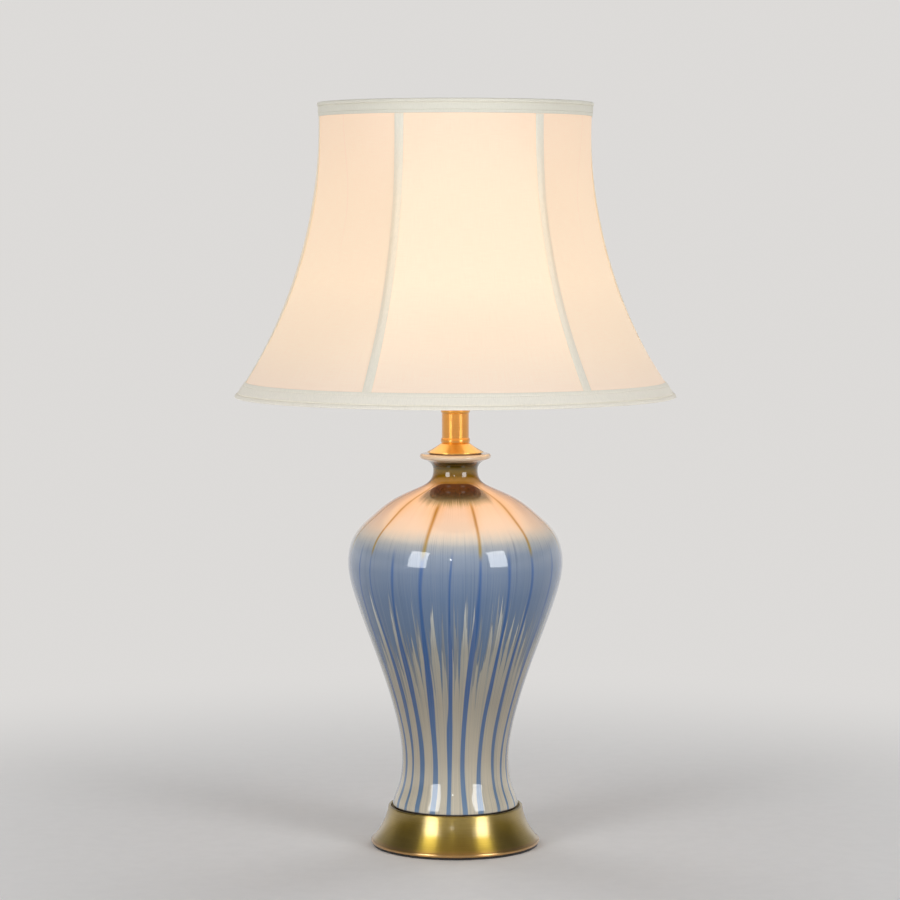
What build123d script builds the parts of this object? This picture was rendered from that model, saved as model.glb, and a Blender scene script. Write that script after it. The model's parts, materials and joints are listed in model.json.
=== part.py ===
from build123d import *
from math import cos, degrees, pi, radians, sin, sqrt
import os

# Ceramic table lamp with a bell-shaped fabric shade.
# Millimetres, +Z up. The origin is the centre of the felt pad's underside, on the table.
# The front of the lamp faces -Y. Angles round the lamp are counted from the front towards +X.

# Clearances
SLIP = 0.15
RUN = 0.3
SEAT_PLAY = 0.1
CLOTH_GAP = 0.15

# Brass base, its felt, board and ballast
FELT_T = 2.0
FELT_SETBACK = 1.5
BASE_RIM_R = 73.4
BASE_RIM_H = 3.4
BASE_RIM_ROUND = 1.4
BASE_FLARE_R = 55.0
BASE_TOP_R = 58.4
BASE_H = 32.7
BASE_WALL = 2.2
BASE_LIP_W = 2.4
RECESS_DEPTH = 4.2
DECK_T = 2.5
BOARD_T = 2.0
BOARD_LEDGE = 1.0
BALLAST_FLOOR_GAP = 3.0
BALLAST_SIDE_GAP = 6.0
POCKET_SIDE_GAP = 3.0

# Cord gland in the back of the base
GLAND_H = 14.0
GLAND_BORE_R = 3.6
GLAND_WALL = 1.6
GLAND_COLLAR_W = 1.8
GLAND_PROUD = 2.4
GLAND_INNER_LENGTH = 3.0
CORD_CHANNEL_W = 9.0

# Hollow threaded rod and its nut and washers
ROD_R = 5.0
ROD_BORE_R = 3.4
ROD_TAIL = 2.0
NUT_ACROSS_FLATS = 14.0
NUT_H = 4.0
LOCK_WASHER_R = 9.0
LOCK_WASHER_T = 1.0
LOCK_WASHER_TEETH = 10
WASHER_R = 14.0
WASHER_T = 1.5

# Vase: radii and heights above its foot
VASE_WALL = 5.5
VASE_FLOOR_T = 8.0
VASE_HOLE_R = 11.0
FOOT_R = 54.6
FOOT_ROUND = 3.0
ANKLE_R = 50.6
ANKLE_H = 16.6
WAIST_R = 46.4
WAIST_H = 40.0
CALF_R = 51.6
CALF_H = 80.0
LOW_FLANK_R = 68.2
LOW_FLANK_H = 132.7
HIGH_FLANK_R = 87.2
HIGH_FLANK_H = 185.2
BELLY_R = 93.1
BELLY_H = 214.5
SHOULDER_R = 86.5
SHOULDER_H = 240.5
CROWN_R = 72.0
CROWN_H = 255.6
SLOPE_R = 52.0
SLOPE_H = 270.6
COLLAR_R = 36.0
COLLAR_H = 278.2
COLLAR_TILT = 23.0
COLLAR_PULL = 0.6
COLLAR_LEAN = 11.0
NECK_R = 19.3
NECK_H = 295.0
NECK_LEAN = 10.0
LIP_R = 30.9
LIP_DROP = 2.6
LIP_ROUND = 2.2
LIP_UNDER_R = 28.6
LIP_UNDER_DROP = 4.6
LIP_LEAN_R = 2.5
LIP_LEAN_DROP = 2.4
VASE_H = 309.5
INNER_POINTS = 16
INNER_NECK_POINTS = 4
FOOT_GASKET_W = 18.0
FOOT_GASKET_T = 1.5
FOOT_GASKET_SETBACK = 5.0

# Neck bush, cap, rings and tube
BUSH_LENGTH = 14.0
BUSH_FLANGE_W = 3.5
BUSH_FLANGE_T = 1.4
CAP_GASKET_T = 1.0
CAP_GASKET_SETBACK = 2.0
CAP_R = 24.4
CAP_H = 7.7
CAP_RIM_H = 0.6
CAP_LAND = 4.0
CAP_DECK_T = 1.5
CAP_HOLLOW = 0.25
CAP_WALL = 1.5
TUBE_R = 11.8
TUBE_WALL = 1.2
TUBE_H = 21.0
RING_BULGE = 0.9
LOWER_RING_H = 5.1
UPPER_RING_H = 4.5
SPIGOT_H = 2.5

# Lampholder
CUP_R = 18.6
CUP_FOOT_R = 9.0
CUP_SHOULDER_H = 10.0
CUP_H = 17.0
CUP_WALL = 1.2
CUP_BOSS_H = 8.5
ROD_SHY = 0.5
GRUB_R = 1.5
GRUB_LENGTH = 6.0
GRUB_H = 4.2
GRUB_SLOT_W = 0.6
CORE_H = 15.5
CORE_CAVITY_R = 13.0
CORE_CAVITY_DEPTH = 6.0
TERMINAL_CIRCLE_R = 8.5
TERMINAL_HEAD_R = 2.6
TERMINAL_HEAD_H = 1.8
TERMINAL_SHANK_R = 1.4
TERMINAL_SHANK_LENGTH = 4.0
CONTACT_W = 6.0
CONTACT_T = 0.6
CONTACT_RISE = 2.0
CONTACT_FOOT = 4.5
CONTACT_RAMP = 3.0
CONTACT_TOP = 7.0
SCREW_SHELL_WALL = 0.8
SCREW_SHELL_LIP = 1.0
SLEEVE_FLANGE_R = 23.0
SLEEVE_FLANGE_T = 2.5
SLEEVE_FLANGE_H = 7.0
SLEEVE_THREAD_R = 19.8
SLEEVE_THREAD_DEPTH = 0.6
SLEEVE_THREAD_PITCH = 2.5
SLEEVE_PLAIN_TOP = 6.0
SLEEVE_LIP = 1.0

# Screw thread that the bulb and the lampholder share
BULB_THREAD_R = 12.75
BULB_THREAD_DEPTH = 0.4
BULB_THREAD_PITCH = 3.63
BULB_THREAD_TURNS = 5
BULB_THREAD_GAP = 0.45

# Bulb
TIP_R = 4.8
TIP_H = 1.4
INSULATOR_H = 4.2
INSULATOR_PLUG_H = 2.5
BULB_CAP_WALL = 0.7
BULB_CAP_COLLAR_H = 2.5
HOUSING_FOOT_R = 13.6
HOUSING_SPIGOT_H = 5.0
HOUSING_H = 38.0
HOUSING_WALL = 2.0
BULB_R = 30.0
BULB_SEAM_R = 29.2
DIFFUSER_H = 44.0
DIFFUSER_BULGE_H = 12.0
DIFFUSER_WALL = 1.5
LIGHT_BOARD_T = 1.6
LIGHT_BOARD_DROP = 3.2
LIGHT_BOARD_LEDGE = 2.6
CHIP_SIZE = 3.0
CHIP_T = 0.8
CHIP_COUNT = 12
CHIP_CIRCLE_R = 17.0

# Shade: rings, ribs, spider and fitter
SHADE_H = 252.0
SHADE_BOTTOM_R = 189.0
SHADE_WAIST_R = 116.6
SHADE_WAIST_DROP = 17.0
GORES = 6
FIRST_RIB_ANGLE = -23.5
FLATNESS = 0.62
FLATNESS_EASE = 85.0
RING_WIRE_R = 1.5
RIB_WIRE_R = 1.2
RIB_GAP = 0.3
ARM_WIRE_R = 1.6
ARMS = 3
ARM_OFFSET_ANGLE = 2.8
FITTER_RISE = 16.5
FITTER_R = 27.0
FITTER_T = 1.6
FITTER_PLAY = 0.6

# Shade: cover, lining, trims and seam strips
COVER_T = 0.8
LINING_T = 0.6
LINING_PIECES = 3
TRIM_T = 0.9
TOP_TRIM_H = 12.0
BOTTOM_TRIM_H = 10.5
TRIM_TURN_IN = 6.0
STRIP_W = 7.0
STRIP_T = 0.7
CLOTH_SECTIONS = 13
GORE_SPLIT = 0.2

# Clamp ring
CLAMP_R = 25.5
CLAMP_H = 8.0
CLAMP_GRIPS = 24
CLAMP_GRIP_R = 1.3


# Helpers
def turned(*edges):
    """Solid turned about Z from edges drawn as (radius, height) that close into one outline."""
    return revolve(Plane.XZ * make_face(edges), Axis.Z)


def turned_polygon(*points):
    return turned(Polyline(*points, close=True))


def washer_solid(inner_r, outer_r, low, high):
    return turned_polygon((inner_r, low), (outer_r, low), (outer_r, high), (inner_r, high))


def disc(radius, low, high):
    return Pos(0, 0, (low + high) / 2) * Cylinder(radius, high - low)


def polar(radius, angle, z):
    """Point at an angle in degrees from the front, towards +X."""
    return Vector(radius * sin(radians(angle)), -radius * cos(radians(angle)), z)


def wire_between(start, end, radius):
    """Straight round wire."""
    path = Line(start, end)
    return sweep(Plane(origin=path @ 0, z_dir=path % 0) * Circle(radius), path)


def quarter_round(radius, z_side, z_pole):
    """Quarter of an ellipse from its side to its pole on the axis."""
    pull = 4 / 3 * (sqrt(2) - 1)
    return Bezier(
        (radius, z_side),
        (radius, z_side + pull * (z_pole - z_side)),
        (pull * radius, z_pole),
        (0, z_pole),
    )


def group(solids):
    return Compound([solid for shape in solids for solid in shape.solids()])


# Heights up the lamp, each from the piece below
base_z = FELT_T
base_top = base_z + BASE_H
deck_top = base_top - RECESS_DEPTH
deck_under = deck_top - DECK_T
board_top = base_z + BOARD_T
vase_z = deck_top + FOOT_GASKET_T
lip_top = vase_z + VASE_H
cap_z = lip_top + CAP_GASKET_T
cap_top = cap_z + CAP_H
tube_z = cap_top + LOWER_RING_H
tube_top = tube_z + TUBE_H
holder_z = tube_top + UPPER_RING_H
cup_floor = holder_z + CUP_BOSS_H
cup_top = holder_z + CUP_H
core_top = cup_floor + CORE_H
sleeve_seat = cup_top + SLEEVE_FLANGE_H + SLEEVE_FLANGE_T
fitter_z = sleeve_seat + SEAT_PLAY
fitter_top = fitter_z + FITTER_T
shade_z = fitter_z - FITTER_RISE
shade_top = shade_z + SHADE_H
rod_hole_r = ROD_R + SLIP

# Flare of the base: one hollow arc from the lip down to the rim
flare_top = base_top - BASE_LIP_W / 2
flare_low = base_z + BASE_RIM_H
flare_low_r = BASE_RIM_R - BASE_RIM_ROUND
flare_out = flare_low_r - BASE_TOP_R
flare_drop = flare_top - flare_low
flare_length = sqrt(flare_drop ** 2 + flare_out ** 2)
flare_away = sqrt(BASE_FLARE_R ** 2 - flare_length ** 2 / 4)
flare_centre_r = (BASE_TOP_R + flare_low_r) / 2 + flare_away * flare_drop / flare_length
flare_centre_z = (flare_top + flare_low) / 2 + flare_away * flare_out / flare_length


def flare_r(z, inset=0.0):
    """Radius of the base's flare at a height, set in from its outside by a wall."""
    return flare_centre_r - sqrt((BASE_FLARE_R + inset) ** 2 - (flare_centre_z - z) ** 2)


def flare_edge(z_from, z_to, inset=0.0):
    z_middle = (z_from + z_to) / 2
    stops = [(flare_r(z, inset), z) for z in (z_from, z_middle, z_to)]
    return ThreePointArc(*stops)


ledge_r = flare_r(board_top, BASE_WALL) + BOARD_LEDGE
recess_r = BASE_TOP_R - BASE_LIP_W
rim_nose = ThreePointArc(
    (flare_low_r, base_z),
    (BASE_RIM_R, base_z + BASE_RIM_H / 2),
    (flare_low_r, flare_low),
)
base_lip = ThreePointArc(
    (BASE_TOP_R, flare_top),
    (BASE_TOP_R - BASE_LIP_W / 2, base_top),
    (recess_r, flare_top),
)


def base_outside():
    """The base filled solid, to cut what lies against its outside."""
    return turned(
        rim_nose,
        flare_edge(flare_low, flare_top),
        Polyline((BASE_TOP_R, flare_top), (0, flare_top), (0, base_z), (flare_low_r, base_z)),
    )


def brass_base():
    shell = turned(
        rim_nose,
        flare_edge(flare_low, flare_top),
        base_lip,
        Polyline(
            (recess_r, flare_top),
            (recess_r, deck_top),
            (rod_hole_r, deck_top),
            (rod_hole_r, deck_under),
            (flare_r(deck_under, BASE_WALL), deck_under),
        ),
        flare_edge(deck_under, board_top, BASE_WALL),
        Polyline(
            (flare_r(board_top, BASE_WALL), board_top),
            (ledge_r, board_top),
            (ledge_r, base_z),
            (flare_low_r, base_z),
        ),
    )
    return shell - gland_bar(gland_barrel_r + SLIP, 0, BASE_RIM_R)


# Cord gland: a bush through the back wall, with a collar that lies on the flare
gland_z = base_z + GLAND_H
gland_barrel_r = GLAND_BORE_R + GLAND_WALL
gland_collar_r = gland_barrel_r + GLAND_COLLAR_W
gland_face_y = flare_r(gland_z - gland_collar_r) + GLAND_PROUD
gland_inner_y = flare_r(gland_z, BASE_WALL) - GLAND_INNER_LENGTH


def gland_bar(radius, y_from, y_to):
    """Round bar along +Y at the gland's height."""
    return Pos(0, (y_from + y_to) / 2, gland_z) * Rot(90, 0, 0) * Cylinder(radius, y_to - y_from)


def cord_gland():
    collar = gland_bar(gland_collar_r, gland_inner_y, gland_face_y) - base_outside()
    barrel = gland_bar(gland_barrel_r, gland_inner_y, gland_face_y)
    return collar + barrel - gland_bar(GLAND_BORE_R, 0, 2 * gland_face_y)


# Ballast: a disc under the deck, with a pocket for the nut and a channel for the cord
ballast_low = board_top + BALLAST_FLOOR_GAP
ballast_r = flare_r(deck_under, BASE_WALL) - BALLAST_SIDE_GAP
pocket_r = WASHER_R + POCKET_SIDE_GAP
nut_stack = WASHER_T + LOCK_WASHER_T + NUT_H + ROD_TAIL
pocket_top = board_top + BALLAST_FLOOR_GAP + nut_stack
washer_low = pocket_top - WASHER_T
lock_washer_low = washer_low - LOCK_WASHER_T
nut_low = lock_washer_low - NUT_H
rod_low = nut_low - ROD_TAIL
rod_top = cup_floor - ROD_SHY


def ballast_weight():
    channel_top = gland_z + CORD_CHANNEL_W / 2
    channel_from = pocket_r - POCKET_SIDE_GAP / 2
    channel = Pos(0, (channel_from + ballast_r) / 2, (ballast_low + channel_top) / 2) * Box(
        CORD_CHANNEL_W, ballast_r - channel_from + POCKET_SIDE_GAP, channel_top - ballast_low)
    weight = washer_solid(rod_hole_r, ballast_r, ballast_low, deck_under)
    return weight - disc(pocket_r, ballast_low, pocket_top) - channel


def rod_nut():
    blank = Pos(0, 0, nut_low) * extrude(RegularPolygon(NUT_ACROSS_FLATS / 2, 6, major_radius=False), NUT_H)
    return blank - disc(rod_hole_r, nut_low, lock_washer_low)


def rod_lock_washer():
    ring = washer_solid(rod_hole_r, LOCK_WASHER_R, lock_washer_low, washer_low)
    notch_w = pi * LOCK_WASHER_R / LOCK_WASHER_TEETH
    notch_depth = (LOCK_WASHER_R - rod_hole_r) / 2
    notch = Pos(LOCK_WASHER_R, 0, washer_low) * Box(notch_depth, notch_w, 3 * LOCK_WASHER_T)
    for tooth in range(LOCK_WASHER_TEETH):
        ring -= Rot(0, 0, 360 * tooth / LOCK_WASHER_TEETH) * notch
    return ring


# Vase
neck_bore_r = NECK_R - VASE_WALL
waist_z = vase_z + WAIST_H
neck_z = vase_z + NECK_H
lip_low = lip_top - LIP_UNDER_DROP
lip_edge_r = LIP_R - LIP_ROUND
foot_round_z = vase_z + FOOT_ROUND


collar_run = (-cos(radians(COLLAR_TILT)), sin(radians(COLLAR_TILT)))
collar_z = vase_z + COLLAR_H


def vase_profile():
    """Smooth line up the outside of the vase, from its foot to the collar below its neck."""
    return Spline(
        (FOOT_R, foot_round_z),
        (ANKLE_R, vase_z + ANKLE_H),
        (WAIST_R, waist_z),
        (CALF_R, vase_z + CALF_H),
        (LOW_FLANK_R, vase_z + LOW_FLANK_H),
        (HIGH_FLANK_R, vase_z + HIGH_FLANK_H),
        (BELLY_R, vase_z + BELLY_H),
        (SHOULDER_R, vase_z + SHOULDER_H),
        (CROWN_R, vase_z + CROWN_H),
        (SLOPE_R, vase_z + SLOPE_H),
        (COLLAR_R, collar_z),
        tangents=((0, 1), collar_run),
        tangent_scalars=(1, COLLAR_PULL),
    )


def neck_flare():
    """Hollow sweep from the collar into the neck, tangent to both."""
    return Bezier(
        (COLLAR_R, collar_z),
        (COLLAR_R + COLLAR_LEAN * collar_run[0], collar_z + COLLAR_LEAN * collar_run[1]),
        (NECK_R, neck_z - NECK_LEAN),
        (NECK_R, neck_z),
    )


def vase_inside(outside, flare):
    """Inner wall: the outside's lines, one wall thickness in, from above the floor to the neck."""
    points = []
    for line, steps in ((outside, INNER_POINTS), (flare, INNER_NECK_POINTS)):
        for step in range(1, steps + 1):
            place = line @ (step / steps)
            along = line % (step / steps)
            points.append((place.X - VASE_WALL * along.Y, place.Y + VASE_WALL * along.X))
    floor_corner = (points[0][0], vase_z + VASE_FLOOR_T)
    return [point for point in [floor_corner] + points if point[1] >= floor_corner[1]]


def vase():
    outside = vase_profile()
    flare = neck_flare()
    inside = vase_inside(outside, flare)
    corner = FOOT_ROUND * (1 - sqrt(0.5))
    return turned(
        Line((VASE_HOLE_R, vase_z), (FOOT_R - FOOT_ROUND, vase_z)),
        ThreePointArc(
            (FOOT_R - FOOT_ROUND, vase_z),
            (FOOT_R - corner, vase_z + corner),
            (FOOT_R, foot_round_z),
        ),
        outside,
        flare,
        Bezier(
            (NECK_R, neck_z),
            (NECK_R, (neck_z + lip_low) / 2),
            (NECK_R + LIP_LEAN_R, lip_low - LIP_LEAN_DROP),
            (LIP_UNDER_R, lip_low),
        ),
        ThreePointArc((LIP_UNDER_R, lip_low), (LIP_R, lip_top - LIP_DROP), (lip_edge_r, lip_top)),
        Polyline((lip_edge_r, lip_top), (neck_bore_r, lip_top), inside[-1]),
        Spline(*inside),
        Polyline(inside[0], (VASE_HOLE_R, inside[0][1]), (VASE_HOLE_R, vase_z)),
    )


def foot_gasket():
    outer = FOOT_R - FOOT_GASKET_SETBACK
    return washer_solid(outer - FOOT_GASKET_W, outer, deck_top, vase_z)


# Neck
bush_flange_r = neck_bore_r + BUSH_FLANGE_W


def neck_bush():
    barrel_r = neck_bore_r - SLIP
    return turned_polygon(
        (rod_hole_r, lip_top - BUSH_LENGTH),
        (barrel_r, lip_top - BUSH_LENGTH),
        (barrel_r, lip_top),
        (bush_flange_r, lip_top),
        (bush_flange_r, lip_top + BUSH_FLANGE_T),
        (rod_hole_r, lip_top + BUSH_FLANGE_T),
    )


def vase_cap():
    """Low spun cone with a slightly hollow side."""
    ring_r = TUBE_R + RING_BULGE
    side_low = (CAP_R, cap_z + CAP_RIM_H)
    side_top = (ring_r, cap_top)
    side_middle = ((CAP_R + ring_r) / 2 - CAP_HOLLOW, (cap_z + CAP_RIM_H + cap_top) / 2 - CAP_HOLLOW)
    return turned(
        Line((CAP_R, cap_z), side_low),
        ThreePointArc(side_low, side_middle, side_top),
        Polyline(
            side_top,
            (rod_hole_r, cap_top),
            (rod_hole_r, cap_top - CAP_DECK_T),
            (ring_r - CAP_WALL, cap_top - CAP_DECK_T),
            (CAP_R - CAP_LAND, cap_z),
            (CAP_R, cap_z),
        ),
    )


def cap_gasket():
    return washer_solid(CAP_R - CAP_LAND, CAP_R - CAP_GASKET_SETBACK, lip_top, cap_z)


def neck_ring(z_low, z_high, spigot_side):
    """Turned ring with a bulged edge and a spigot that centres the tube; spigot_side is 1 up or -1 down."""
    spigot_r = TUBE_R - TUBE_WALL - SLIP
    bulge = ThreePointArc((TUBE_R, z_low), (TUBE_R + RING_BULGE, (z_low + z_high) / 2), (TUBE_R, z_high))
    inside = Polyline((TUBE_R, z_high), (rod_hole_r, z_high), (rod_hole_r, z_low), (TUBE_R, z_low))
    ring = turned(bulge, inside)
    if spigot_side > 0:
        return ring + washer_solid(rod_hole_r, spigot_r, z_high, z_high + SPIGOT_H)
    return ring + washer_solid(rod_hole_r, spigot_r, z_low - SPIGOT_H, z_low)


# Lampholder
core_r = CUP_R - CUP_WALL - SLIP
grub_z = holder_z + GRUB_H
shell_inner_r = BULB_THREAD_R + BULB_THREAD_GAP
shell_r = shell_inner_r + BULB_THREAD_DEPTH + SCREW_SHELL_WALL
contact_top = core_top + CONTACT_RISE + CONTACT_T
sleeve_bore_r = shell_r + SLIP


def grub_bar(radius, x_from, x_to):
    return Pos((x_from + x_to) / 2, 0, grub_z) * Rot(0, 90, 0) * Cylinder(radius, x_to - x_from)


def holder_cup():
    inner_r = CUP_R - CUP_WALL
    shoulder_z = holder_z + CUP_SHOULDER_H
    round_out = CUP_R - CUP_FOOT_R
    shoulder = ThreePointArc(
        (CUP_FOOT_R, holder_z),
        (CUP_FOOT_R + round_out * sin(pi / 4), shoulder_z - CUP_SHOULDER_H * cos(pi / 4)),
        (CUP_R, shoulder_z),
    )
    cup = turned(
        Line((rod_hole_r, holder_z), (CUP_FOOT_R, holder_z)),
        shoulder,
        Polyline(
            (CUP_R, shoulder_z),
            (CUP_R, cup_top),
            (inner_r, cup_top),
            (inner_r, cup_floor),
            (rod_hole_r, cup_floor),
            (rod_hole_r, holder_z),
        ),
    )
    return cup - grub_bar(GRUB_R + SLIP, ROD_R, CUP_R)


def holder_grub_screw():
    tip_x = ROD_R + SLIP
    screw = grub_bar(GRUB_R, tip_x, tip_x + GRUB_LENGTH)
    slot = Pos(tip_x + GRUB_LENGTH, 0, grub_z) * Box(2 * GRUB_SLOT_W, GRUB_SLOT_W, 3 * GRUB_R)
    return screw - slot


cavity_top = cup_floor + CORE_CAVITY_DEPTH


def terminal_screw(side):
    head = disc(TERMINAL_HEAD_R, cavity_top - TERMINAL_HEAD_H, cavity_top)
    shank = disc(TERMINAL_SHANK_R, cavity_top, cavity_top + TERMINAL_SHANK_LENGTH)
    return Pos(side * TERMINAL_CIRCLE_R, 0, 0) * (head + shank)


def holder_core():
    core = disc(core_r, cup_floor, core_top) - disc(CORE_CAVITY_R, cup_floor, cavity_top)
    for side in (-1, 1):
        core -= Pos(side * TERMINAL_CIRCLE_R, 0, 0) * disc(
            TERMINAL_SHANK_R + SLIP, cavity_top, cavity_top + TERMINAL_SHANK_LENGTH)
    return core


def centre_contact():
    """Bent strip: a foot on the core, a ramp and a raised end under the bulb's tip."""
    end_x = CONTACT_TOP / 2
    ramp_x = -CONTACT_TOP / 2
    foot_x = ramp_x - CONTACT_RAMP
    heel_x = foot_x - CONTACT_FOOT
    low = core_top
    high = core_top + CONTACT_RISE
    strip = make_face(Polyline(
        (heel_x, low),
        (foot_x, low),
        (ramp_x, high),
        (end_x, high),
        (end_x, high + CONTACT_T),
        (ramp_x, high + CONTACT_T),
        (foot_x, low + CONTACT_T),
        (heel_x, low + CONTACT_T),
        close=True,
    ))
    return extrude(Plane.XZ * strip, CONTACT_W / 2, both=True)


# Bulb heights, from the contact up
tip_z = contact_top + RUN
insulator_z = tip_z + TIP_H
bulb_cap_z = insulator_z + INSULATOR_H
thread_top = bulb_cap_z + BULB_THREAD_TURNS * BULB_THREAD_PITCH
bulb_cap_top = thread_top + BULB_CAP_COLLAR_H
seam_z = bulb_cap_top + HOUSING_H
shell_top = thread_top + SCREW_SHELL_LIP
sleeve_top = shell_top + SLEEVE_LIP
sleeve_turns = int((sleeve_top - SLEEVE_PLAIN_TOP - sleeve_seat) / SLEEVE_THREAD_PITCH)
bulb_cap_inner_r = BULB_THREAD_R - BULB_THREAD_DEPTH - BULB_CAP_WALL


def thread_edges(middle_r):
    """Rounded thread line of crest and root arcs in turn, each from the middle radius to the middle radius."""
    half_pitch = BULB_THREAD_PITCH / 2
    arcs = []
    for half_turn in range(2 * BULB_THREAD_TURNS):
        low = bulb_cap_z + half_turn * half_pitch
        swing = -BULB_THREAD_DEPTH if half_turn % 2 else BULB_THREAD_DEPTH
        arcs.append(ThreePointArc(
            (middle_r, low),
            (middle_r + swing, low + half_pitch / 2),
            (middle_r, low + half_pitch),
        ))
    return arcs


def screw_shell():
    return turned(
        *thread_edges(shell_inner_r),
        Polyline(
            (shell_inner_r, thread_top),
            (shell_inner_r, shell_top),
            (shell_r, shell_top),
            (shell_r, core_top),
            (shell_inner_r, core_top),
            (shell_inner_r, bulb_cap_z),
        ),
    )


def holder_sleeve():
    """Outer sleeve: seat flange for the shade's fitter ring, and thread for the clamp ring above it."""
    flange_low = sleeve_seat - SLEEVE_FLANGE_T
    lower_bore_r = CUP_R - CUP_WALL
    root_r = SLEEVE_THREAD_R - SLEEVE_THREAD_DEPTH
    outline = [
        (lower_bore_r, cup_top),
        (CUP_R, cup_top),
        (CUP_R, flange_low),
        (SLEEVE_FLANGE_R, flange_low),
        (SLEEVE_FLANGE_R, sleeve_seat),
        (root_r, sleeve_seat),
    ]
    for turn in range(sleeve_turns):
        turn_z = sleeve_seat + turn * SLEEVE_THREAD_PITCH
        outline.append((SLEEVE_THREAD_R, turn_z + SLEEVE_THREAD_PITCH / 2))
        outline.append((root_r, turn_z + SLEEVE_THREAD_PITCH))
    outline += [
        (root_r, sleeve_top),
        (sleeve_bore_r, sleeve_top),
        (sleeve_bore_r, core_top + SLIP),
        (lower_bore_r, core_top + SLIP),
    ]
    return turned_polygon(*outline)


# Bulb
def bulb_insulator():
    plug_r = bulb_cap_inner_r - SLIP
    return turned_polygon(
        (0, insulator_z),
        (TIP_R, insulator_z),
        (bulb_cap_inner_r, bulb_cap_z),
        (plug_r, bulb_cap_z),
        (plug_r, bulb_cap_z + INSULATOR_PLUG_H),
        (0, bulb_cap_z + INSULATOR_PLUG_H),
    )


def bulb_tip_contact():
    """Solder dot, flat on top against the insulator and domed below."""
    dome = quarter_round(TIP_R, insulator_z, tip_z)
    return turned(dome, Polyline((TIP_R, insulator_z), (0, insulator_z), (0, tip_z)))


def bulb_cap():
    return turned(
        *thread_edges(BULB_THREAD_R),
        Polyline(
            (BULB_THREAD_R, thread_top),
            (BULB_THREAD_R, bulb_cap_top),
            (bulb_cap_inner_r, bulb_cap_top),
            (bulb_cap_inner_r, bulb_cap_z),
            (BULB_THREAD_R, bulb_cap_z),
        ),
    )


def housing_flare(inset, z_low, z_high):
    """Line of the bulb's housing from its foot to its seam, set in by a wall."""
    foot_r = HOUSING_FOOT_R - inset
    top_r = BULB_SEAM_R - inset
    return Bezier(
        (foot_r, z_low),
        (foot_r, z_low + (z_high - z_low) / 3),
        (top_r, z_high - (z_high - z_low) / 2),
        (top_r, z_high),
    )


board_z = seam_z - LIGHT_BOARD_DROP
board_seat_r = BULB_SEAM_R - HOUSING_WALL


def bulb_housing():
    spigot_r = bulb_cap_inner_r - SLIP
    ledge_in_r = board_seat_r - LIGHT_BOARD_LEDGE
    spigot_low = bulb_cap_top - HOUSING_SPIGOT_H
    inner_low = bulb_cap_top + HOUSING_WALL
    inner_foot_r = HOUSING_FOOT_R - HOUSING_WALL - LIGHT_BOARD_LEDGE
    hollow = Bezier(
        (inner_foot_r, inner_low),
        (inner_foot_r, inner_low + (board_z - inner_low) / 3),
        (ledge_in_r, board_z - (board_z - inner_low) / 2),
        (ledge_in_r, board_z),
    )
    return turned(
        Polyline(
            (inner_foot_r, inner_low),
            (inner_foot_r, spigot_low),
            (spigot_r, spigot_low),
            (spigot_r, bulb_cap_top),
            (HOUSING_FOOT_R, bulb_cap_top),
        ),
        housing_flare(0, bulb_cap_top, seam_z),
        Polyline(
            (BULB_SEAM_R, seam_z),
            (board_seat_r, seam_z),
            (board_seat_r, board_z),
            (ledge_in_r, board_z),
        ),
        hollow,
    )


def light_board():
    return disc(board_seat_r - SLIP, board_z, board_z + LIGHT_BOARD_T)


def light_chips():
    chip_z = board_z + LIGHT_BOARD_T + CHIP_T / 2
    chips = []
    for place in range(CHIP_COUNT):
        turn = Rot(0, 0, 360 * place / CHIP_COUNT)
        chips.append(turn * Pos(CHIP_CIRCLE_R, 0, chip_z) * Box(CHIP_SIZE, CHIP_SIZE, CHIP_T))
    return group(chips)


def dome_edges(inset):
    """Line of the diffuser from its seam over its widest place to its top."""
    wide_z = seam_z + DIFFUSER_BULGE_H
    rise = DIFFUSER_H - DIFFUSER_BULGE_H - inset
    wide_r = BULB_R - inset
    return [
        ThreePointArc(
            (BULB_SEAM_R - inset, seam_z),
            (wide_r - (BULB_R - BULB_SEAM_R) / 4, seam_z + DIFFUSER_BULGE_H / 2),
            (wide_r, wide_z),
        ),
        quarter_round(wide_r, wide_z, wide_z + rise),
    ]


def bulb_diffuser():
    top_z = seam_z + DIFFUSER_H
    inner_top = top_z - DIFFUSER_WALL
    return turned(
        *dome_edges(0),
        Line((0, top_z), (0, inner_top)),
        *dome_edges(DIFFUSER_WALL),
        Line((BULB_SEAM_R - DIFFUSER_WALL, seam_z), (BULB_SEAM_R, seam_z)),
    )


# Shade: the cover's line is one arc, hollow on the outside and upright a little under the top edge
waist_line_z = shade_top - SHADE_WAIST_DROP
bell_out = SHADE_BOTTOM_R - SHADE_WAIST_R
bell_arc_r = ((waist_line_z - shade_z) ** 2 + bell_out ** 2) / (2 * bell_out)
gore_angle = 360 / GORES
rib_angles = [FIRST_RIB_ANGLE + gore_angle * gore for gore in range(GORES)]
cloth_low = shade_z + TRIM_T + CLOTH_GAP
cloth_top = shade_top - TRIM_T - CLOTH_GAP
tight_low = shade_z + BOTTOM_TRIM_H
tight_top = shade_top - TOP_TRIM_H


def bell_r(z, inset=0.0):
    """Radius of the shade at a rib, set in from the cover's outside."""
    return SHADE_WAIST_R + bell_arc_r - sqrt((bell_arc_r + inset) ** 2 - (waist_line_z - z) ** 2)


def pull_in(z):
    """How far the stretched cloth leaves the round towards a flat panel: none at the trims."""
    from_trim = max(min(z - tight_low, tight_top - z), 0)
    return FLATNESS * (1 - cos(pi * min(from_trim / FLATNESS_EASE, 1))) / 2


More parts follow.
